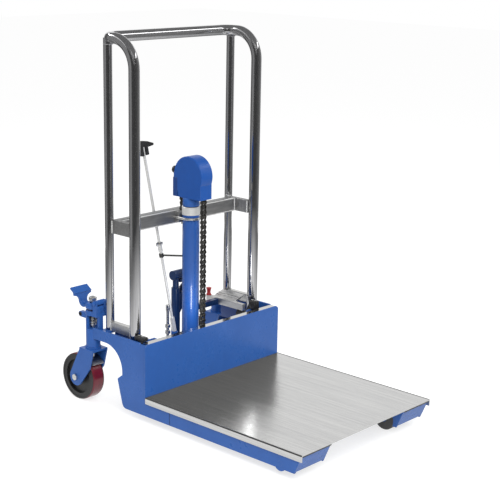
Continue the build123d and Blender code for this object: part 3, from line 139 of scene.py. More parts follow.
def set_world():
    world = bpy.data.worlds.new("pale_studio")
    bpy.context.scene.world = world
    world.use_nodes = True
    tree = world.node_tree
    soft = tree.nodes["Background"]
    white = tree.nodes.new("ShaderNodeBackground")
    for light, strength in ((soft, WORLD_LIGHT), (white, WORLD_SEEN)):
        light.inputs["Color"].default_value = WHITE
        light.inputs["Strength"].default_value = strength
    mix = mixed_shader(tree, seen_directly(tree), soft.outputs[0], white.outputs[0])
    tree.links.new(mix, tree.nodes["World Output"].inputs["Surface"])


def soft_lamp(name, place, aim, size, power):
    lamp = bpy.data.lights.new(name, "AREA")
    lamp.shape = "RECTANGLE"
    lamp.size, lamp.size_y = size
    lamp.energy = power
    holder = bpy.data.objects.new(name, lamp)
    bpy.context.collection.objects.link(holder)
    holder.location = place
    holder.rotation_euler = (Vector(aim) - Vector(place)).to_track_quat("-Z", "Y").to_euler()
    holder.visible_camera = False


def set_lamps():
    for name, values in LAMPS.items():
        soft_lamp(name, *values)
    bpy.data.lights["streak_lamp"].diffuse_factor = 0.0


def set_stage():
    floor = started(bpy.ops.mesh.primitive_plane_add, "pale_floor", size=PAPER_SIZE, location=(0, 0, 0))
    paper = bpy.data.materials.new("pale_floor")
    paper.use_nodes = True
    tree = paper.node_tree
    tree.nodes.clear()
    matt = tree.nodes.new("ShaderNodeBsdfDiffuse")
    matt.inputs["Color"].default_value = grey(PAPER_GREY)
    veil = tree.nodes.new("ShaderNodeBsdfDiffuse")
    veil.inputs["Color"].default_value = grey(PAPER_SEEN_GREY)
    glow = tree.nodes.new("ShaderNodeEmission")
    glow.inputs["Strength"].default_value = PAPER_GLOW
    both = tree.nodes.new("ShaderNodeAddShader")
    tree.links.new(veil.outputs[0], both.inputs[0])
    tree.links.new(glow.outputs[0], both.inputs[1])
    mix = mixed_shader(tree, seen_directly(tree), matt.outputs[0], both.outputs[0])
    out = tree.nodes.new("ShaderNodeOutputMaterial")
    tree.links.new(mix, out.inputs["Surface"])
    floor.data.materials.append(paper)


def card(name, place, size, tilt, shade, glow=0.0, one_sided=False):
    """Flat card that only reflections see, from both sides or from the front alone."""
    sheet = started(bpy.ops.mesh.primitive_plane_add, name, size=1, location=place, rotation=tilt)
    sheet.scale = (*size, 1)
    paper, tree, shader = start_finish(name, Base_Color=grey(shade), Roughness=CARD_ROUGHNESS,
                                       Emission_Color=WHITE, Emission_Strength=glow)
    if one_sided:
        behind = tree.nodes.new("ShaderNodeNewGeometry").outputs["Backfacing"]
        clear = tree.nodes.new("ShaderNodeBsdfTransparent")
        mix = mixed_shader(tree, behind, shader.outputs[0], clear.outputs[0])
        tree.links.new(mix, tree.nodes["Material Output"].inputs["Surface"])
    sheet.data.materials.append(paper)
    sheet.visible_camera = sheet.visible_diffuse = False
    sheet.visible_shadow = sheet.visible_transmission = False
    return sheet


def floor_card(place):
    """Glowing floor that falls off outwards. It is resized as a mesh, so that the fall is in metres."""
    sheet = card("card_floor", place, (1, 1), (0, 0, 0), 0.0)
    tree = sheet.active_material.node_tree
    where = tree.nodes.new("ShaderNodeTexCoord")
    reach = tree.nodes.new("ShaderNodeVectorMath")
    reach.operation = "LENGTH"
    tree.links.new(where.outputs["Object"], reach.inputs[0])
    glow = tree.nodes.new("ShaderNodeEmission")
    fall = spread(tree, reach.outputs["Value"], FLOOR_NEAR, FLOOR_FAR, FLOOR_BRIGHT, FLOOR_DARK)
    tree.links.new(fall, glow.inputs["Strength"])
    tree.links.new(glow.outputs[0], tree.nodes["Material Output"].inputs["Surface"])
    opened(sheet)
    bpy.ops.transform.resize(value=(2 * WALL_FAR, 2 * WALL_FAR, 1), center_override=sheet.location)
    closed()


def set_cards():
    """Walls, ceiling and floor that draw the streaks in the tubes, and a flag and a gleam for the deck."""
    middle = LOOK_AT.xy.to_3d()
    toward = atan2(-cos(AZIMUTH), sin(AZIMUTH))
    ahead = Vector((cos(toward), sin(toward), 0))
    for count, (start, end, glow) in enumerate(WALLS):
        way = toward + radians((start + end) / 2)
        width = 2 * WALL_FAR * tan(radians(end - start) / 2)
        place = middle + Vector((cos(way), sin(way), 0)) * WALL_FAR + Vector((0, 0, WALL_HEIGHT / 2))
        card(f"card_wall_{count}", place, (width, WALL_HEIGHT), (pi / 2, 0, way + pi / 2), WALL_SHADE, glow)
    place = middle + ahead * (CEILING_FRONT - CEILING_BACK) / 2 + Vector((0, 0, CEILING_Z))
    card("card_ceiling", place, (CEILING_WIDTH, CEILING_FRONT + CEILING_BACK), (0, 0, toward + pi / 2),
         CEILING_SHADE, CEILING_GLOW)
    place = (0, APRON_Y - FLAG_AHEAD, (FLAG_LOW + FLAG_HIGH) / 2)
    card("card_apron", place, (2 * FLAG_HALF, FLAG_HIGH - FLAG_LOW), FACING_DECK, FLAG_SHADE, one_sided=True)
    place = (GLEAM_X, APRON_Y - GLEAM_AHEAD, GLEAM_Z)
    card("card_gleam", place, GLEAM_SIZE, FACING_DECK, 0.0, GLEAM, one_sided=True)
    floor_card(middle + ahead * FLOOR_AHEAD + Vector((0, 0, FLOOR_LIFT)))


# Effects that several finishes share
CLOUD_ROUGHNESS, LINE_ROUGHNESS = 0.55, 0.5
# Worn corners: samples of the rounded normal, the cosines of its turn where wear starts and is full, and the
# scale, detail and range of the noise that breaks it up
EDGE_SAMPLES, EDGE_START, EDGE_FULL = 4, 0.985, 0.80
EDGE_NOISE, EDGE_DETAIL, EDGE_RANGE = 140.0, 6.0, (0.42, 0.62)
# Dirt: detail of its patches and smears, how much finer the smears are, the patches' share, and the range
PATCH_DETAIL, SMEAR_DETAIL, SMEAR_FINER, PATCH_SHARE, DIRT_RANGE = 6.0, 5.0, 7.0, 0.65, (0.36, 0.66)
# Drawn lines: detail of the coarse and fine ones, how much finer those are, the coarse share, and the range
COARSE_DETAIL, FINE_DETAIL, LINES_FINER, COARSE_SHARE, LINE_RANGE = 3.0, 4.0, 9.0, 0.6, (0.36, 0.64)
SKIN_DETAIL = 3.0


def new_group(name, inputs, outputs):
    """Empty node group, with its sockets given by title and kind."""
    group = bpy.data.node_groups.new(name, "ShaderNodeTree")
    for way, sockets in (("INPUT", inputs), ("OUTPUT", outputs)):
        for title, kind in sockets.items():
            group.interface.new_socket(title, in_out=way, socket_type=f"NodeSocket{kind}")
    return group, group.nodes.new("NodeGroupInput"), group.nodes.new("NodeGroupOutput")


def fed(tree, socket, value):
    """Give a socket a plain number, or link it to another socket."""
    if isinstance(value, (int, float)):
        socket.default_value = value
    else:
        tree.links.new(value, socket)


def math_node(tree, operation, first, second, clamp=False):
    node = tree.nodes.new("ShaderNodeMath")
    node.operation = operation
    node.use_clamp = clamp
    fed(tree, node.inputs[0], first)
    fed(tree, node.inputs[1], second)
    return node.outputs[0]


def weighted(tree, first, second, share):
    """Sum of two values, with the first one's share."""
    return math_node(tree, "ADD", math_node(tree, "MULTIPLY", first, share),
                     math_node(tree, "MULTIPLY", second, 1 - share))


def spread(tree, value, low, high, to_low=0.0, to_high=1.0):
    """Value carried from one range to another and held inside it."""
    node = tree.nodes.new("ShaderNodeMapRange")
    node.clamp = True
    tree.links.new(value, node.inputs["Value"])
    for title, number in (("From Min", low), ("From Max", high), ("To Min", to_low), ("To Max", to_high)):
        fed(tree, node.inputs[title], number)
    return node.outputs["Result"]


def noise_at(tree, place, scale, detail, roughness):
    noise = tree.nodes.new("ShaderNodeTexNoise")
    noise.inputs["Detail"].default_value = detail
    noise.inputs["Roughness"].default_value = roughness
    fed(tree, noise.inputs["Scale"], scale)
    tree.links.new(place, noise.inputs["Vector"])
    return noise.outputs["Fac"]


def cloudy(tree, scale, detail):
    """Noise on the object's own coordinates."""
    place = tree.nodes.new("ShaderNodeTexCoord")
    return noise_at(tree, place.outputs["Object"], scale, detail, CLOUD_ROUGHNESS)


def rubbed_edges():
    """Mask along the worn corners of a piece, broken up by fine noise."""
    group, given, result = new_group("rubbed_edges", {"Reach": "Float", "Amount": "Float"}, {"Mask": "Float"})
    round_off = group.nodes.new("ShaderNodeBevel")
    round_off.samples = EDGE_SAMPLES
    group.links.new(given.outputs["Reach"], round_off.inputs["Radius"])
    surface = group.nodes.new("ShaderNodeNewGeometry")
    dot = group.nodes.new("ShaderNodeVectorMath")
    dot.operation = "DOT_PRODUCT"
    group.links.new(round_off.outputs["Normal"], dot.inputs[0])
    group.links.new(surface.outputs["Normal"], dot.inputs[1])
    corner = spread(group, dot.outputs["Value"], EDGE_START, EDGE_FULL)
    broken = spread(group, cloudy(group, EDGE_NOISE, EDGE_DETAIL), *EDGE_RANGE)
    worn = math_node(group, "MULTIPLY", corner, broken)
    mask = math_node(group, "MULTIPLY", worn, given.outputs["Amount"], clamp=True)
    group.links.new(mask, result.inputs["Mask"])
    return group


def settled_dirt():
    """Slow patches of dirt and handling, as a mask and as a roughness."""
    group, given, result = new_group("settled_dirt", {"Scale": "Float", "Smooth": "Float", "Dull": "Float"},
                                     {"Mask": "Float", "Roughness": "Float"})
    scale = given.outputs["Scale"]
    patch = cloudy(group, scale, PATCH_DETAIL)
    smear = cloudy(group, math_node(group, "MULTIPLY", scale, SMEAR_FINER), SMEAR_DETAIL)
    mask = spread(group, weighted(group, patch, smear, PATCH_SHARE), *DIRT_RANGE)
    group.links.new(mask, result.inputs["Mask"])
    rough = spread(group, mask, 0.0, 1.0, given.outputs["Smooth"], given.outputs["Dull"])
    group.links.new(rough, result.inputs["Roughness"])
    return group


def drawn_lines():
    """Fine parallel lines of rolling or polishing along an axis, as a mask and as a height."""
    group, given, result = new_group("drawn_lines", {"Stretch": "Vector", "Scale": "Float"},
                                     {"Mask": "Float", "Height": "Float"})
    place = group.nodes.new("ShaderNodeTexCoord")
    drawn_out = group.nodes.new("ShaderNodeVectorMath")
    drawn_out.operation = "MULTIPLY"
    group.links.new(place.outputs["Object"], drawn_out.inputs[0])
    group.links.new(given.outputs["Stretch"], drawn_out.inputs[1])
    layers = []
    for finer, detail in ((1.0, COARSE_DETAIL), (LINES_FINER, FINE_DETAIL)):
        scale = math_node(group, "MULTIPLY", given.outputs["Scale"], finer)
        layers.append(noise_at(group, drawn_out.outputs["Vector"], scale, detail, LINE_ROUGHNESS))
    coarse, fine = layers
    mask = spread(group, weighted(group, coarse, fine, COARSE_SHARE), *LINE_RANGE)
    group.links.new(mask, result.inputs["Mask"])
    group.links.new(fine, result.inputs["Height"])
    return group


def pitted_skin():
    """Small lumps of sprayed paint, cast skin or moulded plastic, as a height."""
    group, given, result = new_group("pitted_skin", {"Scale": "Float"}, {"Height": "Float"})
    group.links.new(cloudy(group, given.outputs["Scale"], SKIN_DETAIL), result.inputs["Height"])
    return group


EFFECTS = {}


def placed(tree, effect, **values):
    node = tree.nodes.new("ShaderNodeGroup")
    node.node_tree = EFFECTS[effect]
    for title, value in values.items():
        node.inputs[title].default_value = value
    return node


def mixed(tree, mask, first, second):
    """Two colours, plain or linked, mixed by a mask."""
    node = tree.nodes.new("ShaderNodeMix")
    node.data_type = "RGBA"
    tree.links.new(mask, node.inputs["Factor"])
    colours = [socket for socket in node.inputs if socket.type == "RGBA"]
    for socket, colour in zip(colours, (first, second)):
        if isinstance(colour, tuple):
            socket.default_value = (*colour, 1)
        else:
            tree.links.new(colour, socket)
    return next(socket for socket in node.outputs if socket.type == "RGBA")


def start_finish(name, **fixed):
    """Material with its Principled shader's plain values set."""
    finish = bpy.data.materials.new(name)
    finish.use_nodes = True
    tree = finish.node_tree
    shader = tree.nodes["Principled BSDF"]
    for title, value in fixed.items():
        shader.inputs[title.replace("_", " ")].default_value = value
    return finish, tree, shader


def coloured(tree, shader, base, under, dirt, reach, amount):
    """Colour with worn corners, and the roughness of its dirt."""
    rub = placed(tree, "rubbed_edges", Reach=reach, Amount=amount)
    tree.links.new(mixed(tree, rub.outputs["Mask"], base, under), shader.inputs["Base Color"])
    tree.links.new(dirt.outputs["Roughness"], shader.inputs["Roughness"])


def raised(tree, shader, height, strength, distance):
    bump = tree.nodes.new("ShaderNodeBump")
    bump.inputs["Strength"].default_value = strength
    bump.inputs["Distance"].default_value = distance
    tree.links.new(height, bump.inputs["Height"])
    tree.links.new(bump.outputs["Normal"], shader.inputs["Normal"])


def lighter(colour, times, more=0.0):
    return tuple(min(1.0, value * times + more) for value in colour)


# Finishes. In paints, under is what shows at chipped corners. In metals, stretch scales the noise of the
# drawn lines along each axis, and lines is their strength. Smooth and dull are the least and most roughness.
STEEL_UNDER = (0.22, 0.23, 0.26)
PAINTS = {
    "blue_paint": dict(colour=(0.0285, 0.118, 0.415), shade=(0.024, 0.103, 0.372)),
    "barrel_paint": dict(colour=(0.024, 0.105, 0.400), shade=(0.020, 0.092, 0.360), wear=0.5, coat=0.7),
    "hood_paint": dict(colour=(0.013, 0.088, 0.372), shade=(0.011, 0.077, 0.332)),
    # Darker blue that paints shade: the hood's rear recess and the inner plates under the mast's tie
    "flap_paint": dict(colour=(0.012, 0.055, 0.235), shade=(0.010, 0.047, 0.205), wear=0.4),
    "navy_paint": dict(colour=(0.008, 0.031, 0.105), shade=(0.006, 0.023, 0.082), wear=0.4,
                       under=(0.05, 0.06, 0.09)),
}
METALS = {
    "chrome_tube": dict(light=(0.62, 0.62, 0.63), dark=(0.50, 0.50, 0.51), stretch=(6, 6, 0.12), scale=40.0,
                        smooth=0.06, dull=0.13, lines=0.03),
    "deck_steel": dict(light=(0.64, 0.64, 0.63), dark=(0.52, 0.52, 0.52), stretch=(5, 0.12, 5), scale=30.0,
                       smooth=0.16, dull=0.25, lines=0.25),
    "bare_steel": dict(light=(0.34, 0.34, 0.34), dark=(0.20, 0.20, 0.20), stretch=(0.5, 3, 3), scale=45.0,
                       smooth=0.26, dull=0.46, lines=0.12),
    "pedal_steel": dict(light=(0.74, 0.74, 0.73), dark=(0.60, 0.60, 0.60), stretch=(3, 0.5, 3), scale=45.0,
                        smooth=0.42, dull=0.58, lines=0.08),
    "bar_steel": dict(light=(0.46, 0.46, 0.46), dark=(0.33, 0.33, 0.33), stretch=(0.5, 3, 3), scale=45.0,
                      smooth=0.46, dull=0.60, lines=0.12),
    "ledge_steel": dict(light=(0.60, 0.60, 0.58), dark=(0.49, 0.49, 0.48), stretch=(0.12, 5, 5), scale=30.0,
                        smooth=0.08, dull=0.16, lines=0.05),
    "pale_steel": dict(light=(0.74, 0.74, 0.72), dark=(0.58, 0.58, 0.57), stretch=(0.6, 3, 3), scale=60.0,
                       smooth=0.36, dull=0.52, lines=0.08),
    "gland_zinc": dict(light=(0.86, 0.86, 0.85), dark=(0.74, 0.74, 0.72), stretch=(1, 1, 4), scale=90.0,
                       smooth=0.34, dull=0.46, lines=0.06, patch=30.0, metal=0.45),
    "dark_steel": dict(light=(0.15, 0.15, 0.145), dark=(0.09, 0.09, 0.088), stretch=(2, 2, 1), scale=60.0,
                       smooth=0.34, dull=0.5, lines=0.1, patch=20.0),
    "zinc": dict(light=(0.72, 0.72, 0.70), dark=(0.52, 0.52, 0.51), stretch=(2, 2, 1), scale=90.0,
                 smooth=0.2, dull=0.4, lines=0.08, patch=30.0),
}
MOULDED = {
    "chain_steel": dict(colour=(0.06, 0.058, 0.054), shade=(0.13, 0.125, 0.115), smooth=0.22, dull=0.45,
                        scale=500.0, bump=0.12, Metallic=0.85),
    "roller_plastic": dict(colour=(0.028, 0.027, 0.027), shade=(0.06, 0.058, 0.055), smooth=0.38, dull=0.6),
    "wheel_core": dict(colour=(0.010, 0.010, 0.011), shade=(0.024, 0.024, 0.024), smooth=0.38, dull=0.58,
                       scale=260.0, bump=0.35),
    "wheel_tread": dict(colour=(0.20, 0.012, 0.026), shade=(0.12, 0.010, 0.019), smooth=0.16, dull=0.28,
                        scale=180.0, bump=0.08),
    "black_plastic": dict(colour=(0.012, 0.012, 0.013), shade=(0.03, 0.03, 0.03), smooth=0.3, dull=0.5),
    "red_cap": dict(colour=(0.42, 0.03, 0.03), shade=(0.30, 0.02, 0.02), smooth=0.3, dull=0.45),
}
# Nodes whose finish isn't their slot's own
OWN_FINISH = {
    "cylinder_barrel": "barrel_paint", "chain_hood": "hood_paint", "pedal_pad": "pedal_steel",
    "load_axles": "blue_paint", "apron_ledge": "ledge_steel", "lower_ties": "pale_steel",
    "gland_nut": "gland_zinc", "release_rod": "gland_zinc", "rod_guide": "dark_steel",
    "brake_shoe_right": "bare_steel",
}


def painted(name, colour, shade, under=STEEL_UNDER, wear=0.55, coat=0.0):
    """Sprayed enamel: slow colour patches, chipped corners and a fine peel."""
    finish, tree, shader = start_finish(name, Metallic=0.0, Specular_IOR_Level=0.32, Coat_Weight=coat,
                                        Coat_Roughness=0.05)
    dirt = placed(tree, "settled_dirt", Scale=7.0, Smooth=0.24, Dull=0.38)
    base = mixed(tree, dirt.outputs["Mask"], colour, shade)
    coloured(tree, shader, base, under, dirt, reach=0.0013, amount=wear)
    peel = placed(tree, "pitted_skin", Scale=520.0)
    raised(tree, shader, peel.outputs["Height"], strength=0.06, distance=0.0006)
    return finish


def bright_metal(name, light, dark, stretch, scale, smooth, dull, lines, patch=6.0, metal=1.0):
    """Bare or plated steel with drawn lines and handled patches."""
    finish, tree, shader = start_finish(name, Metallic=metal)
    drawn = placed(tree, "drawn_lines", Stretch=stretch, Scale=scale)
    dirt = placed(tree, "settled_dirt", Scale=patch, Smooth=smooth, Dull=dull)
    base = mixed(tree, drawn.outputs["Mask"], dark, light)
    coloured(tree, shader, base, lighter(light, 1.35), dirt, reach=0.001, amount=0.6)
    raised(tree, shader, drawn.outputs["Height"], strength=lines, distance=0.0004)
    return finish


def moulded(name, colour, shade, smooth, dull, scale=300.0, bump=0.25, **fixed):
    """Plastic, rubber or blackened iron with a fine skin and dusty patches."""
    finish, tree, shader = start_finish(name, **fixed)
    dirt = placed(tree, "settled_dirt", Scale=16.0, Smooth=smooth, Dull=dull)
    base = mixed(tree, dirt.outputs["Mask"], colour, shade)
    coloured(tree, shader, base, lighter(colour, 1.8, more=0.02), dirt, reach=0.0012, amount=0.45)
    skin = placed(tree, "pitted_skin", Scale=scale)
    raised(tree, shader, skin.outputs["Height"], strength=bump, distance=0.0005)
    return finish


def make_finishes():
    for make in (rubbed_edges, settled_dirt, drawn_lines, pitted_skin):
        EFFECTS[make.__name__] = make()
    finishes = {}
    for make, table in ((painted, PAINTS), (bright_metal, METALS), (moulded, MOULDED)):
        for name, values in table.items():
            finishes[name] = make(name, **values)
    return finishes


# Modelling by operators. Angles in degrees: past the first an edge is sharp and bevelled, up to the others it
# is shaded smooth, on most pieces and on small round ones. Past FACING a normal lies along an axis.
SHARP_ANGLE, SMOOTH_ANGLE, ROUND_ANGLE = 40, 35, 60
FACING = 0.99
TURNS = {"X": (0, pi / 2, 0), "Y": (-pi / 2, 0, 0), "Z": (0, 0, 0)}


def at(x, y, z):
    """Place given in millimetres, with Y from the apron's front face."""
    return Vector((x, y, z)) / 1000 + Vector((0, APRON_Y, 0))


def started(add, name, **place):
    bpy.ops.object.select_all(action="DESELECT")
    add(**place)
    piece = bpy.context.object
    piece.name = name
    return piece


def alone(piece):
    bpy.ops.object.select_all(action="DESELECT")
    piece.select_set(True)
    bpy.context.view_layer.objects.active = piece


def applied(piece):
    """Take a piece's place, turn and scale into its mesh."""
    alone(piece)
    bpy.ops.object.transform_apply(location=True, rotation=True, scale=True)


def opened(piece):
    alone(piece)
    bpy.ops.object.mode_set(mode="EDIT")
    bpy.ops.mesh.select_all(action="SELECT")


def closed():
    bpy.ops.object.mode_set(mode="OBJECT")


def pick_points(test):
    """Select the points of the mesh being edited that pass a test of their place."""
    bpy.context.tool_settings.mesh_select_mode = (True, False, False)
    mesh = bmesh.from_edit_mesh(bpy.context.edit_object.data)
    for point in mesh.verts:
        point.select_set(bool(test(point.co)))
    mesh.select_flush_mode()
    bmesh.update_edit_mesh(bpy.context.edit_object.data)


def pick_faces(test):
    """Select the faces of the mesh being edited that pass a test of their normal."""
    bpy.context.tool_settings.mesh_select_mode = (False, False, True)
    mesh = bmesh.from_edit_mesh(bpy.context.edit_object.data)
    for face in mesh.faces:
        face.select_set(bool(test(face.normal)))
    mesh.select_flush_mode()
    bmesh.update_edit_mesh(bpy.context.edit_object.data)


def soften(width, segments=2):
    """Bevel the sharp edges of the mesh being edited."""
    bpy.context.tool_settings.mesh_select_mode = (False, True, False)
    bpy.ops.mesh.select_all(action="DESELECT")
    bpy.ops.mesh.edges_select_sharp(sharpness=radians(SHARP_ANGLE))
    bpy.ops.mesh.bevel(offset=width, segments=segments, affect="EDGES")


def block(name, low, high, bevel, segments=2):
    """Bevelled block between two corners."""
    piece = started(bpy.ops.mesh.primitive_cube_add, name, size=1, location=(low + high) / 2)
    opened(piece)
    bpy.ops.transform.resize(value=high - low, center_override=(low + high) / 2)
    soften(bevel, segments)
    closed()
    return piece


def side_block(name, side, low, high, bevel, segments=2):
    """Block on one side of the object, between corners whose X counts outwards from the middle."""
    start, end = sorted((side * low[0], side * high[0]))
    return block(name, at(start, *low[1:]), at(end, *high[1:]), bevel, segments)


def drum(name, middle, axis, radius, depth, bevel=0, sides=24, segments=2):
    """Round or many-sided piece on an axis, with softened rims."""
    piece = started(bpy.ops.mesh.primitive_cylinder_add, name, vertices=sides, radius=radius, depth=depth,
                    location=middle, rotation=TURNS[axis])
    opened(piece)
    if bevel:
        soften(bevel, segments)
    closed()
    return piece


def tube(name, middle, axis, radius, bore, depth, bevel, sides):
    """Ring on an axis: a drum whose two ends are inset and bridged into a bore."""
    piece = drum(name, middle, axis, radius, depth, sides=sides)
    opened(piece)
    pick_faces(lambda normal: abs(normal.z) > FACING)
    bpy.ops.mesh.inset(thickness=radius - bore)
    bpy.ops.mesh.bridge_edge_loops()
    soften(bevel)
    closed()
    return piece


def copied(piece, name, place):
    """Copy with its own mesh, moved by a matrix."""
    twin = piece.copy()
    twin.data = piece.data.copy()
    twin.name = name
    bpy.context.collection.objects.link(twin)
    twin.matrix_world = place @ piece.matrix_world
    return twin


def joined(pieces, name):
    bpy.ops.object.select_all(action="DESELECT")
    for piece in pieces:
        piece.select_set(True)
    bpy.context.view_layer.objects.active = pieces[0]
    if len(pieces) > 1:
        bpy.ops.object.join()
    pieces[0].name = name
    return pieces[0]


def dropped(*pieces):
    for piece in pieces:
        bpy.data.objects.remove(piece, do_unlink=True)


def settled(piece, body, slot, finish=None, angle=SMOOTH_ANGLE, ride=True):
    """Put a finished piece at the origin, with outward normals, its finish and the body it moves with."""
    applied(piece)
    opened(piece)
    bpy.ops.mesh.normals_make_consistent(inside=False)
    closed()
    bpy.ops.object.shade_smooth_by_angle(angle=radians(angle))
    piece.data.materials.clear()
    piece.data.materials.append(FINISHES[finish or slot])
    if ride:
        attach(piece, body)
    return piece


# Chain: an inner and an outer link, each modelled once, from a pin at the origin to the one above it
CHAIN_PITCH = 0.015875
PINS = (0, CHAIN_PITCH)
PLATE_HEIGHT, PLATE_SHEET, PLATE_GAP, PLATE_SIDES = 0.0142, 0.0017, 0.0001, 12
INNER_WAIST, OUTER_WAIST = 0.6, 0.5
ROLLER_RADIUS, INNER_WIDTH = 0.00508, 0.00965
PIN_HEAD_OUT = 0.0011
LINKS_ON_CARRIAGE = 8


def link_plate(name, x, waist):
    """Waisted plate from pin to pin: a round blank drawn out by one pitch."""
    plate = drum(name, (x, 0, 0), "X", PLATE_HEIGHT / 2, PLATE_SHEET, sides=PLATE_SIDES)
    applied(plate)
    opened(plate)
    pick_points(lambda place: place.z > PLATE_HEIGHT / 8)
    bpy.ops.transform.translate(value=(0, 0, CHAIN_PITCH))
    bpy.ops.mesh.select_all(action="SELECT")
    bpy.ops.mesh.bisect(plane_co=(0, 0, CHAIN_PITCH / 2), plane_no=(0, 0, 1))
    bpy.ops.transform.resize(value=(1, waist, 1), center_override=(x, 0, CHAIN_PITCH / 2))
    closed()
    return plate


def chain_links():
    inner_x = (INNER_WIDTH + PLATE_SHEET) / 2
    outer_x = inner_x + PLATE_SHEET + PLATE_GAP
    rollers = [drum("link_roller", (0, 0, pin), "X", ROLLER_RADIUS, INNER_WIDTH, bevel=0.0006, sides=12,
                    segments=1) for pin in PINS]
    plates = [link_plate("inner_plate", side * inner_x, INNER_WAIST) for side in (-1, 1)]
    inner = joined(plates + rollers, "inner_link")
    heads = [drum("pin_head", (side * (outer_x + PIN_HEAD_OUT), 0, pin), "X", radius=0.0032, depth=0.0014,
                  bevel=0.0007, sides=8, segments=1) for side in (-1, 1) for pin in PINS]
    plates = [link_plate("outer_plate", side * outer_x, OUTER_WAIST) for side in (-1, 1)]
    outer = joined(plates + heads, "outer_link")
    applied(inner)
    applied(outer)
    return {True: outer, False: inner}


def laid_links(links, pins, first_outer, name, first=0):
    """Links between pins that follow one another, as places in Y and Z."""
    run = []
    for count, (start, end) in enumerate(zip(pins, pins[1:])):
        lean = atan2(end[0] - start[0], end[1] - start[1])
        place = Matrix.Translation((0, start[0], start[1])) @ Matrix.Rotation(-lean, 4, "X")
        run.append(copied(links[first_outer == ((count + first) % 2 == 0)], "link", place))
    return joined(run, name)


def straight_pins(node):
    """Pins of a straight run from low to high, as places in Y and Z, found from the box of its node."""
    low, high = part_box(node)
    middle = (low[1] + high[1]) / 2
    count = round((high[2] - low[2] - PLATE_HEIGHT) / CHAIN_PITCH)
    foot = (low[2] + high[2] - count * CHAIN_PITCH) / 2
    return [(middle, foot + CHAIN_PITCH * n) for n in range(count + 1)]


def make_chain():
    links = chain_links()
    front, rear = straight_pins("chain_front"), straight_pins("chain_rear")
    low_end = front[:LINKS_ON_CARRIAGE + 1]
    high_end = front[LINKS_ON_CARRIAGE:]
    wheel_y, wheel_z = (front[0][0] + rear[0][0]) / 2, front[-1][1]
    radius = (rear[0][0] - front[0][0]) / 2
    teeth = round(pi / (CHAIN_PITCH / 2 / radius))
    angles = [pi - 2 * pi * n / teeth for n in range(teeth // 2 + 1)]
    wrap = [(wheel_y + radius * cos(a), wheel_z + radius * sin(a)) for a in angles]
    lower = laid_links(links, low_end, True, "chain_front_lower")
    upper = laid_links(links, high_end, True, "chain_front_upper", LINKS_ON_CARRIAGE)
    over = laid_links(links, wrap, False, "chain_over_wheel")
    back = laid_links(links, rear, True, "chain_behind")
    dropped(*links.values())
    settled(lower, "carriage", "chain_steel")
    settled(over, "ram", "chain_steel")
    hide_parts("chain_wrap")
    settled(upper, "ram", "chain_steel")
    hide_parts("chain_front")
    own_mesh(upper)
    settled(back, "base", "chain_steel", ride=False)
    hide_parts("chain_rear")
    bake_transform(back)


# Small pieces: places and sizes that several of them share or that a loop goes through
BARREL_Y = 111
BRAKE_X, BRAKE_Y = -280, 258
CASTER_X, CASTER_Y, CASTER_Z, FLANK_OUT = 280, 308, 75, 22.2
CAP_PLACE, CAP_WAIST_AT, CAP_WAIST = (194, 218, 274), (4, -4), 0.72
GUIDE_BLOCKS = {"right": ((-284, 26, 248.6), (-262, 66, 261)), "left": ((224, 36, 238.6), (246, 63, 268))}
GUIDE_SCREWS_AT, GUIDE_SCREW_LIFT = (0.3, 0.75), 1
EAR_OUT, EAR_HALF = 0.0085, Vector((0.005, 0.0016, 0.0045))
# Painted highlights along the mid bar's front edges: the low edge of each strip, and the strips' height
BAR_HIGHLIGHTS, BAR_HIGHLIGHT_HEIGHT = {"low": 552.8, "high": 592.6}, 3.4
GUSSETS = ((-1, "right", 190, 206), (1, "left", 212, 176))
COIL_SIDES, COIL_STEPS = 8, 20


def hood_button():
    """Rubber button on the rear shoulder of the chain hood."""
    button = drum("hood_button", at(-14, 168.5, 722), "Y", radius=0.0115, depth=0.011, bevel=0.0035, sides=28,
                  segments=4)
    opened(button)
    pick_faces(lambda normal: normal.z > FACING)
    bpy.ops.mesh.inset(thickness=0.003, depth=-0.0008)
    closed()
    settled(button, "ram", "black_plastic")


def pedal_cap():
    """Red cap on the tail of the pedal's bar, with a waist and rounded rims."""
    x, y, z = CAP_PLACE
    cap = drum("pedal_cap", at(x, y, z), "Z", radius=0.0095, depth=0.026)
    opened(cap)
    for height in CAP_WAIST_AT:
        bpy.ops.mesh.select_all(action="SELECT")
        bpy.ops.mesh.bisect(plane_co=at(x, y, z + height), plane_no=(0, 0, 1))
        bpy.ops.transform.resize(value=(CAP_WAIST, CAP_WAIST, 1), center_override=at(x, y, z))
    soften(0.0018, segments=3)
    closed()
    settled(cap, "foot_pedal", "wheel_tread", "red_cap")


def guide_blocks():
    """Black sliding blocks before the mast tubes, each with its screws."""
    for name, (low, high) in GUIDE_BLOCKS.items():
        slider = block(f"guide_block_{name}", at(*low), at(*high), bevel=0.003, segments=3)
        settled(slider, "carriage", "black_plastic")
        for count, share in enumerate(GUIDE_SCREWS_AT):
            y = low[1] + (high[1] - low[1]) * share
            place = at((low[0] + high[0]) / 2, y, high[2] + GUIDE_SCREW_LIFT)
            screw = drum(f"guide_screw_{name}_{count}", place, "Z", radius=0.0048, depth=0.004, bevel=0.0011,
                         sides=6, segments=1)
            settled(screw, "carriage", "zinc")


def deck_painted_shadow_and_reflection():
    """Black strip along each side of the deck's folded corner, a painted dark reflection, and black strips
    under its front lip, a painted shadow.
    """
    for side, name in SIDES:
        # Painted dark reflection along the deck's folded corner
        corner = side_block(f"deck_edge_painted_reflection_{name}", side, (298.6, -614, 81.4), (300.5, -1, 85.4), bevel=0.0007)
        settled(corner, "carriage", "deck_steel", "black_plastic")
        # Painted shadow of the front lip on the leg's nose
        strip = side_block(f"deck_lip_painted_shadow_{name}", side, (171, -614.2, 77.6), (295, -612.2, 82.2), bevel=0.0006)
        settled(strip, "carriage", "black_plastic")


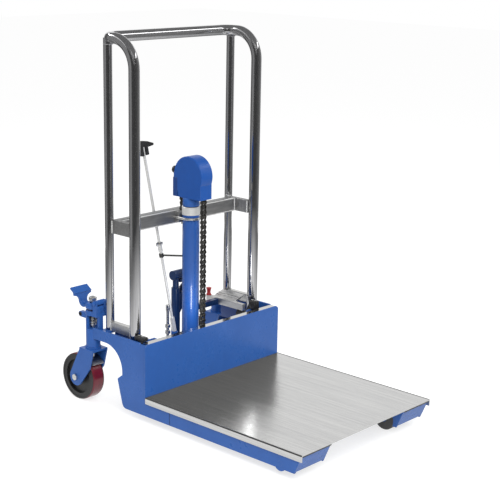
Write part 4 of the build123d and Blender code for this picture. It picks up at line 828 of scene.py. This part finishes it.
def ram_collar():
    """Sleeve round the ram's neck under the hood, with a rubber wiper below it."""
    sleeve = drum("ram_collar", at(0, BARREL_Y, 626.5), "Z", radius=0.0262, depth=0.026, sides=48)
    opened(sleeve)
    pick_faces(lambda normal: abs(normal.z) > FACING)
    bpy.ops.mesh.inset(thickness=0.0014, depth=0.0009)
    soften(0.0005, segments=1)
    closed()
    settled(sleeve, "ram", "blue_paint")
    wiper = drum("ram_wiper", at(0, BARREL_Y, 612.4), "Z", radius=0.0246, depth=0.0022, bevel=0.0006,
                 sides=40)
    settled(wiper, "ram", "black_plastic")


def coil(name, middle, radius, wire, turns, height):
    """Spring: a round section carried up a helix by a screw modifier."""
    section = started(bpy.ops.mesh.primitive_circle_add, name, vertices=COIL_SIDES, radius=wire,
                      location=(radius, 0, 0), rotation=(pi / 2, 0, 0))
    applied(section)
    screw = section.modifiers.new("turns", "SCREW")
    screw.axis = "Z"
    screw.screw_offset = height / turns
    screw.iterations = turns
    screw.steps = screw.render_steps = COIL_STEPS
    bpy.ops.object.modifier_apply(modifier="turns")
    opened(section)
    bpy.ops.mesh.fill_holes(sides=0)
    closed()
    section.location = middle
    return section


def brake_fittings():
    """Spring and nut in the window of the brake post, and hub, nut, bridge, eyelet and pivots about it."""
    spring = coil("brake_spring", at(BRAKE_X, BRAKE_Y, 256), radius=0.0112, wire=0.0009, turns=8,
                  height=0.038)
    settled(spring, "base", "zinc", "dark_steel", ROUND_ANGLE)
    nut = drum("brake_window_nut", at(BRAKE_X, BRAKE_Y, 262), "Z", radius=0.0119, depth=0.011, bevel=0.0012,
               sides=6)
    settled(nut, "base", "zinc")
    hub = tube("brake_hub", at(BRAKE_X, BRAKE_Y, 315.2), "Z", radius=0.0228, bore=0.009, depth=0.0185,
               bevel=0.0028, sides=40)
    settled(hub, "brake_pedal_right", "blue_paint")
    cap = tube("brake_nut", at(BRAKE_X, BRAKE_Y, 336.8), "Z", radius=0.0132, bore=0.0051, depth=0.0104,
               bevel=0.0011, sides=6)
    settled(cap, "brake_rod_right", "zinc")
    bridge = block("brake_bridge", at(-293.5, 220, 299.4), at(-266.5, 237, 320), bevel=0.0015)
    settled(bridge, "base", "blue_paint")
    eyelet = tube("brake_eyelet", at(BRAKE_X, 311, 277), "X", radius=0.0068, bore=0.0039, depth=0.0146,
                  bevel=0.0006, sides=24)
    settled(eyelet, "base", "zinc", "dark_steel")
    for side, name in ((-1, "outer"), (1, "inner")):
        head = drum(f"brake_pivot_{name}", at(BRAKE_X + side * 21.8, 228, 330), "X", radius=0.0068,
                    depth=0.005, bevel=0.0012, segments=3)
        settled(head, "base", "blue_paint")


def wheel_flanks():
    """Black ring on each flank of the caster treads."""
    for side, name in SIDES:
        for face in (-1, 1):
            flank = "outer" if face == side else "inner"
            place = at(side * CASTER_X + face * FLANK_OUT, CASTER_Y, CASTER_Z)
            band = tube(f"wheel_flank_{name}_{flank}", place, "X", radius=0.0731, bore=0.0662, depth=0.0012,
                        bevel=0.0003, sides=72)
            settled(band, f"caster_roll_{name}", "wheel_core")


def rod_clamp():
    """Split clamp with two ears on the release rod."""
    middle = at(-65.5, 185.2, 488)
    pieces = [drum("rod_clamp", middle, "Z", radius=0.0072, depth=0.012, bevel=0.0012, sides=20)]
    for side in (-1, 1):
        ear = middle + Vector((side * EAR_OUT, 0, 0))
        pieces.append(block("clamp_ear", ear - EAR_HALF, ear + EAR_HALF, bevel=0.0008))
    settled(joined(pieces, "rod_clamp"), "release_lever", "zinc")


def bar_lug():
    """Bored lug on the mid bar beside the left rear tube."""
    boss = drum("bar_lug", at(238, 176, 600.5), "Z", radius=0.0095, depth=0.008, bevel=0.0012, sides=28)
    opened(boss)
    pick_faces(lambda normal: normal.z > FACING)
    bpy.ops.mesh.inset(thickness=0.0042, depth=0)
    bpy.ops.mesh.inset(thickness=0.0003, depth=-0.006)
    closed()
    settled(boss, "base", "bare_steel", "pale_steel")


def mid_bar_section():
    """Rolled bar between the mast tubes, with side pieces, a saddle at the barrel and pale strips along its
    front edges as painted highlights.
    """
    pieces = [block("mid_bar_section", at(-256, 156.6, 553), at(256, 184.4, 597), bevel=0.0032, segments=4),
              block("bar_saddle", at(-24, 140.2, 557), at(24, 160, 593), bevel=0.002, segments=3)]
    for side in (-1, 1):
        pieces.append(side_block("bar_side", side, (247.5, 99.5, 553.2), (263.5, 185, 596.8), bevel=0.0028,
                                 segments=4))
    section = settled(joined(pieces, "mid_bar_section"), "base", "bare_steel", "bar_steel")
    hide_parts("mid_bar")
    # Pale zinc strips along the bar's front edges: painted highlights
    for name, low in BAR_HIGHLIGHTS.items():
        edge = block(f"bar_edge_highlight_{name}", at(-247, 155.9, low), at(247, 158.6, low + BAR_HIGHLIGHT_HEIGHT),
                     bevel=0.0012, segments=3)
        settled(edge, "base", "bare_steel", "gland_zinc")


def hood_flap_painted_shade():
    """Rear flap on each side of the chain hood, darker than its face: painted shade of a recess there."""
    for side, name in SIDES:
        flap = side_block(f"hood_flap_painted_shade_{name}", side, (24.6, 147.5, 640.4), (25.5, 166.2, 700), bevel=0.0003,
                          segments=1)
        # Darker blue: painted shade of the recess
        settled(flap, "ram", "blue_paint", "flap_paint")


def side_gussets():
    """Inner plate of each side under the mast's tie, deeper on the pedal's side and darker blue as painted
    shade, and a seam on each leg.
    """
    for side, name, back, low in GUSSETS:
        plate = side_block(f"gusset_painted_shade_{name}", side, (248, 104.5, low), (250.4, back, 246), bevel=0.0006)
        # Darker blue: painted shade on the inner plate
        settled(plate, "base", "blue_paint", "flap_paint")
        seam = side_block(f"leg_seam_{name}", side, (295.2, -101.4, 24), (296, -99.6, 64), bevel=0.0003,
                          segments=1)
        settled(seam, "base", "blue_paint", "navy_paint")


# Welds. A lump's top is drawn in; lumps lie less than a radius apart and vary in size by a seeded draw.
LUMP_TOP, LUMP_DRAWN_IN, LUMP_STEP, LUMP_VARIES = 0.6, 0.8, 0.9, 0.12
UPRIGHT_X, BEAD_OUT = 262, 8.2
# Upright beads on the mid bar and the ties: X of their middle, Y of front and back, heights and radius
BAR_HEIGHTS = (556, 594)
BEADS = {"bar": (255.5, (100.5, 184.2), BAR_HEIGHTS, 0.0019),
         "tie": (UPRIGHT_X, (99.5, 186.4), (248, 273), 0.0017)}
DRAW = random.Random(7)


def weld(name, path, radius, slot="bare_steel", finish=None, body="base", close=False):
    """Row of overlapping lumps along a path: one lump is modelled and copied."""
    lump = started(bpy.ops.mesh.primitive_uv_sphere_add, "weld_lump", segments=8, ring_count=5, radius=radius)
    opened(lump)
    pick_points(lambda place: place.z > radius * LUMP_TOP)
    bpy.ops.transform.resize(value=[LUMP_DRAWN_IN] * 3, center_override=(0, 0, 0))
    closed()
    ends = path[1:] + path[:1] if close else path[1:]
    lumps = []
    for start, end in zip(path, ends):
        count = max(1, round((end - start).length / (radius * LUMP_STEP)))
        for step in range(count):
            place = start.lerp(end, step / count)
            size = 1 + DRAW.uniform(-LUMP_VARIES, LUMP_VARIES)
            tilt = Matrix.Rotation(DRAW.uniform(0, pi), 4, "Z")
            lumps.append(copied(lump, "lump", Matrix.Translation(place) @ Matrix.Scale(size, 4) @ tilt))
    dropped(lump)
    settled(joined(lumps, name), body, slot, finish, ROUND_ANGLE)


def bead(name, x, y, heights, radius, **looks):
    """Weld that runs straight up."""
    weld(name, [at(x, y, height) for height in heights], radius, **looks)


def ring(middle, radius, steps=14):
    """Points on a level circle."""
    turns = [radians(360 * step / steps) for step in range(steps)]
    return [middle + Vector((cos(turn), sin(turn), 0)) * radius for turn in turns]


def make_welds():
    for side, name in SIDES:
        foot = ring(at(side * UPRIGHT_X, 198, 245.6), radius=0.0138)
        weld(f"weld_upright_foot_{name}", foot, 0.0018, "blue_paint", close=True)
        top = ring(at(side * UPRIGHT_X, 196, 1121), radius=0.0136, steps=18)
        weld(f"weld_upright_top_{name}", top, 0.0017, "chrome_tube", close=True)
        for edge, sign in (("outer", 1), ("inner", -1)):
            for part, (middle, places, heights, radius) in BEADS.items():
                x = side * (middle + sign * BEAD_OUT)
                for end, y in zip(("front", "back"), places):
                    bead(f"weld_{part}_{end}_{edge}_{name}", x, y, heights, radius, finish="gland_zinc")
        bead(f"weld_bar_corner_{name}", side * 247.4, 156.5, BAR_HEIGHTS, 0.0018, finish="gland_zinc")
        bead(f"weld_post_{name}", side * 289, 236, (216, 224), 0.0018, slot="blue_paint")
    foot = ring(at(0, BARREL_Y, 57), radius=0.0298, steps=30)
    weld("weld_barrel_foot", foot, 0.002, "blue_paint", close=True)
    bead("weld_lug", -6.3, 9.5, (150, 190), 0.0016, slot="blue_paint", body="carriage")


# Making
set_camera()
set_world()
set_stage()
set_cards()
set_lamps()
FINISHES = make_finishes()
for part in frame["record"]["subparts"]:
    node = frame["nodes"][part["node"]]
    node.data.materials.clear()
    node.data.materials.append(FINISHES[OWN_FINISH.get(part["node"], part["material_slot"])])

make_chain()
hood_button()
pedal_cap()
guide_blocks()
deck_painted_shadow_and_reflection()
ram_collar()
brake_fittings()
wheel_flanks()
rod_clamp()
bar_lug()
mid_bar_section()
hood_flap_painted_shade()
side_gussets()
make_welds()

scene = bpy.context.scene
scene.view_settings.view_transform = "Standard"
